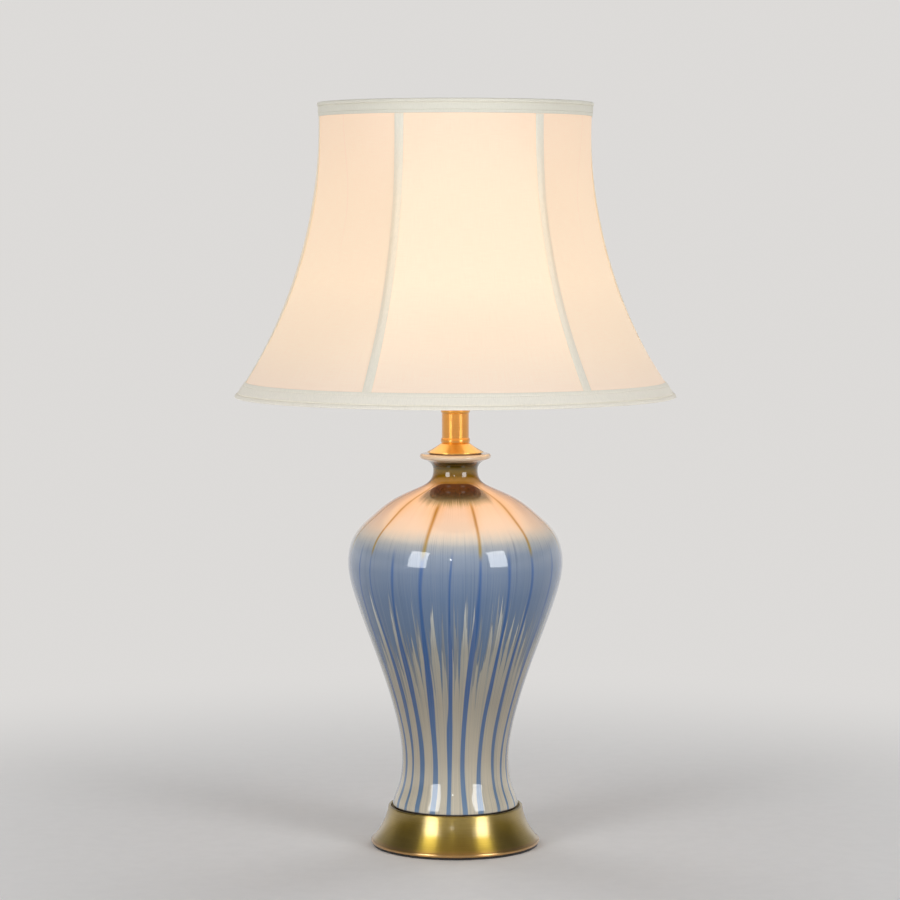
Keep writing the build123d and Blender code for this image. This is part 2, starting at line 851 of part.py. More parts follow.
def gore_r(z, off_middle, inset=0.0):
    """Radius of a gore at an angle off its middle line, where its section is one arc from rib to rib."""
    half = radians(gore_angle / 2)
    rib_r = bell_r(z, inset)
    middle_r = rib_r * (1 - pull_in(z) * (1 - cos(half)))
    if rib_r - middle_r < SEAT_PLAY:
        return rib_r
    centre = (rib_r ** 2 - middle_r ** 2) / (2 * (rib_r * cos(half) - middle_r))
    turn = radians(off_middle)
    return centre * cos(turn) + sqrt((middle_r - centre) ** 2 - (centre * sin(turn)) ** 2)


def cloth_point(z, angle, inset):
    """Point on the cloth at an angle round the lamp."""
    past_rib = (angle - FIRST_RIB_ANGLE) % gore_angle
    return polar(gore_r(z, past_rib - gore_angle / 2, inset), angle, z)


def cloth_section(z, angles, outer_inset, inner_inset):
    """Closed thin section between cloth faces; angles hold stretch ends and, between them, the middles."""
    outer = [cloth_point(z, angle, outer_inset) for angle in angles]
    inner = [cloth_point(z, angle, inner_inset) for angle in angles]
    edges = [Line(outer[-1], inner[-1]), Line(inner[0], outer[0])]
    for start in range(0, len(angles) - 1, 2):
        edges.append(ThreePointArc(*outer[start:start + 3]))
        edges.append(ThreePointArc(*inner[start:start + 3]))
    return make_face(edges)


def cloth_levels(low, high):
    """Heights of the sections, closer together towards the trims."""
    steps = [pi * level / (CLOTH_SECTIONS - 1) for level in range(CLOTH_SECTIONS)]
    return [low + (high - low) * (1 - cos(step)) / 2 for step in steps]


def split_angle(z):
    """Half the gap between two neighbouring pieces of cloth, as an angle."""
    return degrees(GORE_SPLIT / 2 / bell_r(z))


def cover_gore(rib_angle):
    faces = []
    for z in cloth_levels(cloth_low, cloth_top):
        first = rib_angle + split_angle(z)
        last = rib_angle + gore_angle - split_angle(z)
        faces.append(cloth_section(z, [first, (first + last) / 2, last], 0, COVER_T))
    return loft(faces)


rib_inset = COVER_T + RIB_GAP + RIB_WIRE_R
ring_inset = COVER_T + CLOTH_GAP + RING_WIRE_R
lining_inset = max(rib_inset + RIB_WIRE_R, ring_inset + RING_WIRE_R) + RIB_GAP


def lining_piece(piece):
    """Lining between two seams that lie on the middle lines of every second gore."""
    start = FIRST_RIB_ANGLE - gore_angle / 2 + 360 / LINING_PIECES * piece
    stretch = gore_angle / 2
    faces = []
    for z in cloth_levels(cloth_low, cloth_top):
        first = start + split_angle(z)
        last = start + 360 / LINING_PIECES - split_angle(z)
        ribs = [start + stretch * step for step in range(1, round(360 / LINING_PIECES / stretch), 2)]
        stops = [first] + ribs + [last]
        angles = [first]
        for here, there in zip(stops, stops[1:]):
            angles += [(here + there) / 2, there]
        faces.append(cloth_section(z, angles, lining_inset, lining_inset + LINING_T))
    return loft(faces) - group(spider_arm(arm, RIB_GAP) for arm in range(ARMS))


def seam_strip(rib_angle):
    """Tape sewn over a seam, bent over the rib."""
    faces = []
    for z in cloth_levels(tight_low + CLOTH_GAP, tight_top - CLOTH_GAP):
        half = degrees(STRIP_W / 2 / bell_r(z))
        angles = [rib_angle - half, rib_angle, rib_angle + half]
        faces.append(cloth_section(z, angles, -CLOTH_GAP - STRIP_T, -CLOTH_GAP))
    return loft(faces)


def bell_edge(z_from, z_to, inset):
    stops = [(bell_r(z, inset), z) for z in (z_from, (z_from + z_to) / 2, z_to)]
    return ThreePointArc(*stops)


def trim(edge_z, height):
    """Band folded over the shade's edge; height is negative at the top edge, where it hangs down."""
    side = 1 if height > 0 else -1
    fold_z = edge_z + side * TRIM_T
    outer = -CLOTH_GAP - TRIM_T
    inner = lining_inset + LINING_T + CLOTH_GAP
    leg_z = edge_z + height
    turn_in_z = edge_z + side * TRIM_TURN_IN
    return turned(
        bell_edge(edge_z, leg_z, outer),
        Line((bell_r(leg_z, outer), leg_z), (bell_r(leg_z, -CLOTH_GAP), leg_z)),
        bell_edge(leg_z, fold_z, -CLOTH_GAP),
        Line((bell_r(fold_z, -CLOTH_GAP), fold_z), (bell_r(fold_z, inner), fold_z)),
        bell_edge(fold_z, turn_in_z, inner),
        Line((bell_r(turn_in_z, inner), turn_in_z), (bell_r(turn_in_z, inner + TRIM_T), turn_in_z)),
        bell_edge(turn_in_z, edge_z, inner + TRIM_T),
        Line((bell_r(edge_z, inner + TRIM_T), edge_z), (bell_r(edge_z, outer), edge_z)),
    )


# Shade frame
low_ring_z = cloth_low + RING_WIRE_R
top_ring_z = cloth_top - RING_WIRE_R


def wire_ring(z):
    return Pos(0, 0, z) * Torus(bell_r(z, ring_inset), RING_WIRE_R)


def shade_rib(rib_angle):
    levels = (low_ring_z, (low_ring_z + top_ring_z) / 2, top_ring_z)
    path = ThreePointArc(*[polar(bell_r(z, rib_inset), rib_angle, z) for z in levels])
    rib = sweep(Plane(origin=path @ 0, z_dir=path % 0) * Circle(RIB_WIRE_R), path)
    return rib - wire_ring(low_ring_z) - wire_ring(top_ring_z)


def spider_arm(arm, swell=0.0):
    angle = FIRST_RIB_ANGLE + gore_angle + ARM_OFFSET_ANGLE + 360 / ARMS * arm
    outer_end = polar(bell_r(low_ring_z, ring_inset), angle, low_ring_z)
    inner_end = polar(FITTER_R - ARM_WIRE_R, angle, fitter_z + FITTER_T / 2)
    return wire_between(outer_end, inner_end, ARM_WIRE_R + swell)


def shade_fitter_ring():
    return washer_solid(SLEEVE_THREAD_R + FITTER_PLAY, FITTER_R, fitter_z, fitter_top)


def shade_spider_arms():
    low_ring = wire_ring(low_ring_z)
    hub = disc(FITTER_R, fitter_z - 2 * ARM_WIRE_R, fitter_top + 2 * ARM_WIRE_R)
    return group(spider_arm(arm) - low_ring - hub for arm in range(ARMS))


def shade_clamp_ring():
    low = fitter_top + SEAT_PLAY
    ring = washer_solid(SLEEVE_THREAD_R + RUN, CLAMP_R, low, low + CLAMP_H)
    for grip in range(CLAMP_GRIPS):
        notch = Pos(CLAMP_R + CLAMP_GRIP_R / 2, 0, 0) * disc(CLAMP_GRIP_R, low, low + CLAMP_H)
        ring -= Rot(0, 0, 360 * grip / CLAMP_GRIPS) * notch
    return ring


def build_nodes():
    """Every node of the lamp by name, from the table up."""
    arms_cut = group(spider_arm(arm, RIB_GAP) for arm in range(ARMS))
    return {
        "felt_pad": disc(BASE_RIM_R - FELT_SETBACK, 0, base_z),
        "base_board": disc(ledge_r - SLIP, base_z, board_top),
        "brass_base": brass_base(),
        "ballast_weight": ballast_weight(),
        "cord_gland": cord_gland(),
        "rod_nut": rod_nut(),
        "rod_lock_washer": rod_lock_washer(),
        "rod_washer": washer_solid(rod_hole_r, WASHER_R, washer_low, pocket_top),
        "threaded_rod": washer_solid(ROD_BORE_R, ROD_R, rod_low, rod_top),
        "foot_gasket": foot_gasket(),
        "vase": vase(),
        "neck_bush": neck_bush(),
        "cap_gasket": cap_gasket(),
        "vase_cap": vase_cap(),
        "neck_lower_ring": neck_ring(cap_top, tube_z, 1),
        "neck_tube": washer_solid(TUBE_R - TUBE_WALL, TUBE_R, tube_z, tube_top),
        "neck_upper_ring": neck_ring(tube_top, holder_z, -1),
        "holder_cup": holder_cup(),
        "holder_grub_screw": holder_grub_screw(),
        "holder_core": holder_core(),
        "terminal_screws": group(terminal_screw(side) for side in (-1, 1)),
        "centre_contact": centre_contact(),
        "screw_shell": screw_shell(),
        "holder_sleeve": holder_sleeve(),
        "bulb_tip_contact": bulb_tip_contact(),
        "bulb_insulator": bulb_insulator(),
        "bulb_cap": bulb_cap(),
        "bulb_housing": bulb_housing(),
        "light_board": light_board(),
        "light_chips": light_chips(),
        "bulb_diffuser": bulb_diffuser(),
        "shade_clamp_ring": shade_clamp_ring(),
        "shade_fitter_ring": shade_fitter_ring(),
        "shade_spider_arms": shade_spider_arms(),
        "shade_bottom_ring": wire_ring(low_ring_z),
        "shade_top_ring": wire_ring(top_ring_z),
        "shade_ribs": group(shade_rib(angle) for angle in rib_angles),
        "shade_cover": group(cover_gore(angle) for angle in rib_angles),
        "shade_lining": group(lining_piece(piece) for piece in range(LINING_PIECES)),
        "shade_top_trim": trim(shade_top, -TOP_TRIM_H),
        "shade_bottom_trim": trim(shade_z, BOTTOM_TRIM_H) - arms_cut,
        "seam_strips": group(seam_strip(angle) for angle in rib_angles),
    }


os.makedirs("parts", exist_ok=True)
for node, shape in build_nodes().items():
    export_step(shape, f"parts/{node}.step")
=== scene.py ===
import json
from math import cos, degrees, pi, radians, sin, sqrt

import bpy
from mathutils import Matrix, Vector

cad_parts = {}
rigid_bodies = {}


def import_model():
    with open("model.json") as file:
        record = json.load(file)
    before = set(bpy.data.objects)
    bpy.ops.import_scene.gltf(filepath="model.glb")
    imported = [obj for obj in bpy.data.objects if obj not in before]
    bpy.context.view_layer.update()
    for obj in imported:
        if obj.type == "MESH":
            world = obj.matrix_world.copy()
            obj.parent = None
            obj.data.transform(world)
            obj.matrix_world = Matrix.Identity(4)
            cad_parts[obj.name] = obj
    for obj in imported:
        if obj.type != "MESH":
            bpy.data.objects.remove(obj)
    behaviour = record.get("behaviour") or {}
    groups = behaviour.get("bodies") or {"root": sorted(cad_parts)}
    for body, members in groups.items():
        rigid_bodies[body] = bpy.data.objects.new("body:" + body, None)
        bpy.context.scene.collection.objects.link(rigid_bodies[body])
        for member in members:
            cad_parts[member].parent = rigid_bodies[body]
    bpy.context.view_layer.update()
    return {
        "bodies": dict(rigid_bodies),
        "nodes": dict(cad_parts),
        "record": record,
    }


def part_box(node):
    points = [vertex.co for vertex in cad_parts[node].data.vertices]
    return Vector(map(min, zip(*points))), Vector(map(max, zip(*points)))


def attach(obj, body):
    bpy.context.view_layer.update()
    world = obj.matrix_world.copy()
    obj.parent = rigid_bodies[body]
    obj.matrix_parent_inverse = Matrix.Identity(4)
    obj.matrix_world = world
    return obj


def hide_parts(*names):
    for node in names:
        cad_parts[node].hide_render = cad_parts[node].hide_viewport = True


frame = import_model()

# Ceramic table lamp with a lit, bell-shaped fabric shade.
# Metres, +Z up. The front of the lamp faces -Y, and angles are counted from the front towards +X.

# Shade: the line of its ribs and the stretch of its cloth
SHADE_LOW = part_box("shade_bottom_trim")[0].z
SHADE_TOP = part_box("shade_top_trim")[1].z
SHADE_BOTTOM_R = 0.189
SHADE_WAIST_R = 0.1166
SHADE_WAIST_DROP = 0.017
GORES = 6
FIRST_RIB_ANGLE = -23.5
FLATNESS = 0.62
FLATNESS_EASE = 0.085
LEAST_FLATNESS = 0.0001
COVER_T = 0.0008
COVER_WEAVE = 0.0009
LINING_INSET = 0.00425
LINING_T = 0.0006
LINING_PIECES = 3
SPLIT = 0.0001
CLOTH_GAP = 0.00015
EDGE_CLEAR = 0.00105
TOP_TRIM_H = 0.012
BOTTOM_TRIM_H = 0.0132
STRIP_W = 0.0082
STRIP_T = 0.0007
GRID_ACROSS = 24
GRID_UP = 56
STRIP_ACROSS = 8
TRIM_SEGMENTS = 240

# Felt under the base
FELT_SEGMENTS = 160
FELT_EDGE_ROUND = 0.0005
FELT_INSET = 0.004

# Photograph's view
CAMERA_LENS = 121.8
CAMERA_PLACE = (-0.00466, -2.6255, 0.5487)
CAMERA_PITCH = 4.45

# Lights and surroundings
LIGHT_TARGET = (0.0, 0.0, 0.33)
COOL_WHITE = (0.95, 0.975, 1.0)
KEY_LIGHT = {"elevation": 15.0, "distance": 2.2, "width": 0.80, "height": 1.15, "radiance": 7.0}
FILL_LIGHT = {"elevation": 30.0, "distance": 2.6, "width": 1.4, "height": 1.4, "radiance": 2.6}
SPARK_LIGHT = {"elevation": 16.5, "distance": 2.3, "width": 0.10, "height": 0.10, "radiance": 25.0}
PALE = (0.72, 0.705, 0.69)
OVERHEAD = (0.10, 0.10, 0.105)
OVERHEAD_FADE = (0.30, 0.75)
SKYLINE = 0.24
# Brightness by share of the way from the front to the back
LOW_SURROUNDINGS = ((0.0, 0.46), (0.13, 0.46), (0.20, 0.04), (0.60, 0.04), (0.80, 0.30), (1.0, 0.40))
FLOOR_R = 30.0
FLOOR_SEGMENTS = 128
FLOOR_NEAR = 0.12
FLOOR_FAR = 1.0


# Modelling helpers
def start_clean():
    """Leaves nothing selected, so that an operator acts on the new piece alone."""
    if bpy.context.object and bpy.context.object.mode != "OBJECT":
        bpy.ops.object.mode_set(mode="OBJECT")
    bpy.ops.object.select_all(action="DESELECT")


def named_piece(name):
    piece = bpy.context.active_object
    piece.name = name
    piece.data.name = name
    return piece


def apply_modifier(piece, kind, **settings):
    modifier = piece.modifiers.new(kind.lower(), kind)
    for setting, value in settings.items():
        setattr(modifier, setting, value)
    bpy.context.view_layer.objects.active = piece
    bpy.ops.object.modifier_apply(modifier=modifier.name)


def smooth(piece, angle=40):
    start_clean()
    piece.select_set(True)
    bpy.context.view_layer.objects.active = piece
    bpy.ops.object.shade_smooth_by_angle(angle=radians(angle))


def polar(radius, angle, z):
    return Vector((radius * sin(radians(angle)), -radius * cos(radians(angle)), z))


def cloth_grid(name, across, along, place, width, length):
    """Sheet from a grid, with its UV map in metres.

    place(u, v) gives the cloth's point at a share across and a share up."""
    start_clean()
    bpy.ops.mesh.primitive_grid_add(x_subdivisions=across, y_subdivisions=along, size=1)
    piece = named_piece(name)
    for vertex in piece.data.vertices:
        vertex.co = place(vertex.co.x + 0.5, vertex.co.y + 0.5)
    for corner in piece.data.uv_layers.active.data:
        corner.uv = (corner.uv[0] * width, corner.uv[1] * length)
    return piece


def turned_band(name, outline, segments):
    """Closed band: a circle extruded ring by ring round a closed outline of (radius, height) points."""
    start_clean()
    radius, height = outline[0]
    bpy.ops.mesh.primitive_circle_add(vertices=segments, radius=radius, location=(0, 0, height))
    piece = named_piece(name)
    bpy.ops.object.transform_apply(location=True)
    bpy.ops.object.mode_set(mode="EDIT")
    bpy.ops.mesh.select_all(action="SELECT")
    for next_radius, next_height in outline[1:] + outline[:1]:
        bpy.ops.mesh.extrude_region_move(
            TRANSFORM_OT_translate={"value": (0, 0, next_height - height)})
        grow = next_radius / radius
        bpy.ops.transform.resize(value=(grow, grow, 1), center_override=(0, 0, next_height))
        radius, height = next_radius, next_height
    bpy.ops.mesh.select_all(action="SELECT")
    bpy.ops.mesh.remove_doubles(threshold=1e-6)
    bpy.ops.mesh.normals_make_consistent(inside=False)
    bpy.ops.object.mode_set(mode="OBJECT")
    return piece


# Node helpers
class Nodes:
    """A node tree made step by step. Each step takes sockets or plain values and gives a socket."""

    def __init__(self, tree):
        self.tree = tree

    def put(self, socket, value):
        if isinstance(value, bpy.types.NodeSocket):
            self.tree.links.new(value, socket)
        elif socket.type == "RGBA":
            socket.default_value = (*value, 1.0)
        else:
            socket.default_value = value

    def step(self, kind, inputs, output=0, **settings):
        node = self.tree.nodes.new(kind)
        for setting, value in settings.items():
            setattr(node, setting, value)
        for key, value in inputs.items():
            self.put(node.inputs[key], value)
        return node.outputs[output]

    def math(self, operation, *values):
        return self.step("ShaderNodeMath", dict(enumerate(values)), operation=operation)

    def add(self, a, b):
        return self.math("ADD", a, b)

    def minus(self, a, b):
        return self.math("SUBTRACT", a, b)

    def times(self, a, b):
        return self.math("MULTIPLY", a, b)

    def over(self, a, b):
        return self.math("DIVIDE", a, b)

    def power(self, a, b):
        return self.math("POWER", a, b)

    def vector(self, operation, *values):
        return self.step("ShaderNodeVectorMath", dict(enumerate(values)), operation=operation)

    def parts(self, vector):
        node = self.tree.nodes.new("ShaderNodeSeparateXYZ")
        self.put(node.inputs[0], vector)
        return node.outputs[0], node.outputs[1], node.outputs[2]

    def joined(self, x, y, z):
        return self.step("ShaderNodeCombineXYZ", {0: x, 1: y, 2: z})

    def rise(self, value, low, high, bottom=0.0, top=1.0):
        """Smooth rise from bottom to top as value goes from low to high; low may also be the higher one."""
        linked = isinstance(low, bpy.types.NodeSocket) or isinstance(high, bpy.types.NodeSocket)
        if not linked and low > high:
            low, high, bottom, top = high, low, top, bottom
        return self.step(
            "ShaderNodeMapRange",
            {"Value": value, "From Min": low, "From Max": high, "To Min": bottom, "To Max": top},
            interpolation_type="SMOOTHSTEP",
        )

    def noise(self, vector, scale, detail=2.0, roughness=0.5):
        return self.step(
            "ShaderNodeTexNoise",
            {"Vector": vector, "Scale": scale, "Detail": detail, "Roughness": roughness},
        )

    def drawn_noise(self, vector, scales, detail=2.0, roughness=0.6):
        """Noise drawn out by a scale of its own in each direction."""
        return self.noise(self.vector("MULTIPLY", vector, scales), 1.0, detail, roughness)

    def uneven(self, noise, width):
        """Noise as a shift to both sides of nought."""
        return self.times(self.minus(noise, 0.5), width)

    def mix(self, share, a, b):
        return self.step("ShaderNodeMix", {0: share, 6: a, 7: b}, output=2, data_type="RGBA")

    def ramp(self, value, stops):
        """Colour by value: stops are (value, colour), from the lowest value up."""
        low, high = stops[0][0], stops[-1][0]
        node = self.tree.nodes.new("ShaderNodeValToRGB")
        self.put(node.inputs[0], self.over(self.minus(value, low), high - low))
        elements = node.color_ramp.elements
        while len(elements) < len(stops):
            elements.new(1.0)
        for element, (place, colour) in zip(elements, stops):
            element.position = (place - low) / (high - low)
            element.color = (*colour, 1.0)
        return node.outputs[0]

    def bump(self, height, distance, strength=1.0):
        return self.step(
            "ShaderNodeBump", {"Height": height, "Distance": distance, "Strength": strength})


class Finish(Nodes):
    """A material; its steps end in the sockets of its shader."""

    def __init__(self, name):
        self.material = bpy.data.materials.new(name)
        self.material.use_nodes = True
        super().__init__(self.material.node_tree)
        self.shader = self.tree.nodes["Principled BSDF"]
        coordinates = self.tree.nodes.new("ShaderNodeTexCoord")
        self.place = coordinates.outputs["Object"]
        self.uv = coordinates.outputs["UV"]

    def set(self, **values):
        """Sets the shader's sockets; an underscore in a name stands for a space."""
        for name, value in values.items():
            self.put(self.shader.inputs[name.replace("_", " ")], value)
        return self.material

    def height(self):
        return self.parts(self.place)[2]

    def round_noise(self, around, up, detail, roughness=0.5):
        """Noise on a cylinder of even radius, so that it runs round the axis without a seam."""
        x, y, z = self.parts(self.place)
        ring_x, ring_y, _ = self.parts(self.vector("NORMALIZE", self.joined(x, y, 0.0)))
        place = self.joined(
            self.times(ring_x, around), self.times(ring_y, around), self.times(z, up))
        return self.noise(place, 1.0, detail, roughness)

    def turn(self):
        """Share of a turn from the front towards +X, from -0.5 to 0.5."""
        x, y, _ = self.parts(self.place)
        return self.over(self.math("ARCTAN2", x, self.times(y, -1.0)), 2 * pi)


# Glaze: counts round the vase, heights above the table, and colours by height.
# A pair gives the two heights between which something changes, or its values there.
STRIPES = 24
STRIPE_PHASE = -0.355
STRIPE_DRIFT = -1.36
STRIPE_DRIFT_FROM = 0.2
STRIPE_SWAY = -0.2
STRIPE_SWAY_START = -0.35
STRIPE_WANDER = 0.8
STRIPE_WIDENS = (0.235, 0.13)
STRIPE_HALF_WIDTH = (0.046, 0.150)
STRIPE_SHARPENS = (0.25, 0.17)
STRIPE_SOFTNESS = (0.045, 0.022)
STRIPE_TOP = (0.272, 0.246)
# The stripes turn lighter near the foot, partly as a painted reflection from below
STRIPE_HUES = (
    (0.04, (0.105, 0.210, 0.365)),
    (0.075, (0.042, 0.122, 0.270)),
    (0.14, (0.006, 0.064, 0.215)),
    (0.21, (0.014, 0.080, 0.250)),
    (0.25, (0.036, 0.115, 0.330)),
)
TRAIL_LOW = (0.256, 0.266)
TRAIL_NARROWS = (0.312, 0.272)
TRAIL_WIDTH = (0.090, 0.054)
TRAIL_AMBER = (0.46, 0.21, 0.030)
TRAIL_GLOW = (0.86, 0.50, 0.24)
TRAIL_END = (0.36, 0.28, 0.06)
TRAIL_END_TOP = (0.262, 0.285)
TRAIL_GLOW_WIDTH = 3.8
TRAIL_GLOW_LOW = (0.272, 0.300)
TRAIL_GLOW_SHARE = 0.55
BAND_HUES = (
    (0.14, (0.074, 0.125, 0.205)),
    (0.19, (0.092, 0.146, 0.240)),
    (0.225, (0.116, 0.178, 0.292)),
    (0.246, (0.165, 0.228, 0.340)),
    (0.262, (0.285, 0.345, 0.440)),
    (0.275, (0.55, 0.555, 0.525)),
)
BAND_LIGHT_RUNS = (0.200, 0.250, 0.320)
BAND_DARK_RUNS = (0.060, 0.104, 0.195)
BLADES = 72
BLADE_TIP = 0.210
BLADE_LENGTH = 0.050
BLADE_UNEVENNESS = 1.15
NEEDLES = 190
NEEDLE_TIP = 0.207
NEEDLE_LENGTH = 0.044
NEEDLE_UNEVENNESS = 1.5
# The cream turns lighter near the foot, partly as a painted reflection from below
CREAM_HUES = (
    (0.045, (0.62, 0.555, 0.43)),
    (0.08, (0.46, 0.40, 0.305)),
    (0.13, (0.340, 0.298, 0.224)),
    (0.18, (0.332, 0.312, 0.256)),
    (0.205, (0.45, 0.455, 0.42)),
    (0.225, (0.64, 0.65, 0.62)),
)
CREAM_GREY_RUNS = (0.225, 0.235, 0.235)
CREAM_BROWN_RUNS = (0.39, 0.33, 0.25)
NEEDLE_SHARE = 0.75
NEEDLE_WOBBLE = 2.2
DRIP_EDGE = (0.062, 0.090, 0.140)
DRIP_EDGE_LOW = (0.10, 0.17)
DRIP_EDGE_DEPTH = (0.6, 2.2)
SHOULDER_LOW = (0.2685, 0.284)
SHOULDER_RUNS = 0.005
# Warmer towards the neck: partly the glaze's own tone, partly painted warm light from the bulb
SHOULDER_HUES = (
    (0.275, (0.78, 0.66, 0.54)),
    (0.290, (0.83, 0.62, 0.47)),
    (0.308, (0.82, 0.52, 0.33)),
)
SHOULDER_HAIRS = (0.56, 0.30, 0.13)
SHOULDER_HAIRS_LOW = (0.280, 0.306)
NECK_LOW = (0.3125, 0.3175)
# The neck's darkest colour, just under the lip, is painted shade
NECK_HUES = (
    (0.3150, (0.44, 0.205, 0.045)),
    (0.3190, (0.32, 0.155, 0.016)),
    (0.3235, (0.205, 0.105, 0.0)),
    (0.3275, (0.185, 0.110, 0.0)),
    (0.3305, (0.070, 0.046, 0.001)),
    (0.3345, (0.026, 0.016, 0.004)),
)
NECK_RINGS = (0.19, 0.105, 0.0)
# Dark pools at the neck's root: partly pooled glaze, partly a painted reflection of the dark neck in the
# shoulder
POOL_REFLECTION_TOP = 0.3165
POOL_REFLECTION_TOP_EDGE = (0.3176, 0.3166)
POOL_REFLECTION_DEPTH = 0.0165
POOL_REFLECTION_REACH = 0.136
POOL_REFLECTION_RUNS = 0.014
POOL_REFLECTION_CROWN = 0.0035
POOL_REFLECTION_CROWN_REACH = 0.115
POOL_REFLECTION_HUES = (
    (0.3000, (0.55, 0.42, 0.22)),
    (0.3035, (0.28, 0.22, 0.10)),
    (0.3065, (0.10, 0.075, 0.033)),
    (0.3095, (0.075, 0.036, 0.014)),
    (0.3120, (0.090, 0.029, 0.010)),
    (0.3165, (0.115, 0.040, 0.012)),
)
POOL_REFLECTION_HAIRS = (0.22, 0.085, 0.03)
LIP_LOW = (0.3345, 0.3364)
LIP_CREAM = (0.70, 0.57, 0.42)
# Painted shadow round the foot, where the vase sits down in the base
FOOT_TOP = (0.0362, 0.0352)
FOOT_SHADOW = (0.030, 0.020, 0.014)


class Glaze(Finish):
    """Run glaze. Each layer takes the colour below it and gives the colour with the layer on it."""

    def __init__(self, name):
        super().__init__(name)
        self.z = self.height()
        self.fine = self.round_noise(42.0, 5.0, 4.0, 0.6)
        self.finest = self.round_noise(120.0, 6.0, 3.0, 0.65)
        self.hairs = self.round_noise(150.0, 5.0, 2.0, 0.6)
        self.wander = self.round_noise(2.6, 7.0, 1.0)
        self.swell = self.round_noise(5.0, 10.0, 1.0)
        self.stripe = self.stripe_count()
        self.drips = self.drip_mask()

    def stripe_count(self):
        """Count of stripes round the vase, as they lean, wander and sway; each stripe lies at a half."""
        swing = self.math("SINE", self.add(self.times(self.turn(), 4 * pi), STRIPE_SWAY_START))
        count = self.add(self.times(self.turn(), STRIPES), STRIPE_PHASE)
        count = self.add(count, self.times(self.minus(self.z, STRIPE_DRIFT_FROM), STRIPE_DRIFT))
        count = self.add(count, self.uneven(self.wander, STRIPE_WANDER))
        return self.add(count, self.times(swing, STRIPE_SWAY))

    def pointed_drips(self, count, wobble, tip_z, length, unevenness):
        """Mask of pointed drips in even number round the vase: none at their tips, full one length lower."""
        across = self.add(self.times(self.turn(), count), wobble)
        slope = self.math("PINGPONG", across, 0.5)
        number = self.math("FLOORED_MODULO", self.math("FLOOR", across), float(count))
        chance = self.step("ShaderNodeTexWhiteNoise", {"W": number}, noise_dimensions="1D")
        depth = self.over(self.minus(tip_z, self.z), length)
        depth = self.add(depth, self.uneven(chance, unevenness))
        depth = self.add(depth, self.times(slope, 2.0))
        return self.rise(depth, 1.0, 1.22)

    def drip_mask(self):
        """Pointed blades of uneven height, and needles beside them."""
        wobble = self.add(self.times(self.fine, 0.8), self.times(self.wander, 1.6))
        blades = self.pointed_drips(BLADES, wobble, BLADE_TIP, BLADE_LENGTH, BLADE_UNEVENNESS)
        needles = self.pointed_drips(
            NEEDLES, self.times(wobble, NEEDLE_WOBBLE), NEEDLE_TIP, NEEDLE_LENGTH, NEEDLE_UNEVENNESS)
        mask = self.math("MAXIMUM", blades, self.times(needles, NEEDLE_SHARE))
        return self.times(mask, self.rise(self.finest, 0.25, 0.5, 0.7, 1.0))

    def trail_mask(self, wider, share):
        """Trails above every second stripe, of even width down the spreading shoulder."""
        pair = self.math("FRACT", self.times(self.stripe, 0.5))
        off_trail = self.math("ABSOLUTE", self.minus(pair, 0.25))
        width = self.times(self.rise(self.z, *TRAIL_NARROWS, *TRAIL_WIDTH), wider)
        return self.rise(off_trail, 0.0, width, share, 0.0)

    def blue_band(self):
        """Blue-grey ground with fine runs."""
        colour = self.ramp(self.z, BAND_HUES)
        colour = self.mix(self.rise(self.finest, 0.5, 0.75, 0.0, 0.55), colour, BAND_LIGHT_RUNS)
        return self.mix(self.rise(self.finest, 0.48, 0.28, 0.0, 0.45), colour, BAND_DARK_RUNS)

    def cream_drips(self, colour):
        """Cream drips with darker edges."""
        cream = self.ramp(self.z, CREAM_HUES)
        cream = self.mix(self.rise(self.fine, 0.45, 0.75, 0.0, 0.5), cream, CREAM_GREY_RUNS)
        cream = self.mix(self.rise(self.finest, 0.55, 0.8, 0.0, 0.4), cream, CREAM_BROWN_RUNS)
        colour = self.mix(self.drips, colour, cream)
        edges = self.times(self.drips, self.minus(1.0, self.drips))
        edges = self.times(edges, self.rise(self.z, *DRIP_EDGE_LOW, *DRIP_EDGE_DEPTH))
        return self.mix(edges, colour, DRIP_EDGE)

    def blue_stripes(self, colour):
        """Blue stripes, thin and soft at the top, wider and sharper lower down."""
        off_stripe = self.math("ABSOLUTE", self.minus(self.math("FRACT", self.stripe), 0.5))
        half_width = self.rise(self.z, *STRIPE_WIDENS, *STRIPE_HALF_WIDTH)
        half_width = self.times(half_width, self.rise(self.swell, 0.3, 0.7, 0.75, 1.25))
        softness = self.rise(self.z, *STRIPE_SHARPENS, *STRIPE_SOFTNESS)
        mask = self.rise(
            off_stripe, self.minus(half_width, softness), self.add(half_width, softness), 1.0, 0.0)
        mask = self.times(mask, self.rise(self.z, *STRIPE_TOP, 0.0, 0.92))
        mask = self.times(mask, self.rise(self.finest, 0.25, 0.6, 0.8, 1.0))
        return self.mix(mask, colour, self.ramp(self.z, STRIPE_HUES))

    def cream_shoulder(self, colour):
        """Cream shoulder, warmer towards the neck, partly as painted warm light from the bulb, and beside the
        trails, with brown hairlines.
        """
        hairs = self.rise(self.hairs, 0.52, 0.72, 0.0, 0.45)
        hairs = self.times(hairs, self.rise(self.z, *SHOULDER_HAIRS_LOW))
        glow = self.trail_mask(TRAIL_GLOW_WIDTH, TRAIL_GLOW_SHARE)
        glow = self.times(glow, self.rise(self.z, *TRAIL_GLOW_LOW))
        shoulder = self.mix(hairs, self.ramp(self.z, SHOULDER_HUES), SHOULDER_HAIRS)
        shoulder = self.mix(glow, shoulder, TRAIL_GLOW)
        edge = self.add(self.z, self.uneven(self.fine, SHOULDER_RUNS))
        return self.mix(self.rise(edge, *SHOULDER_LOW), colour, shoulder)

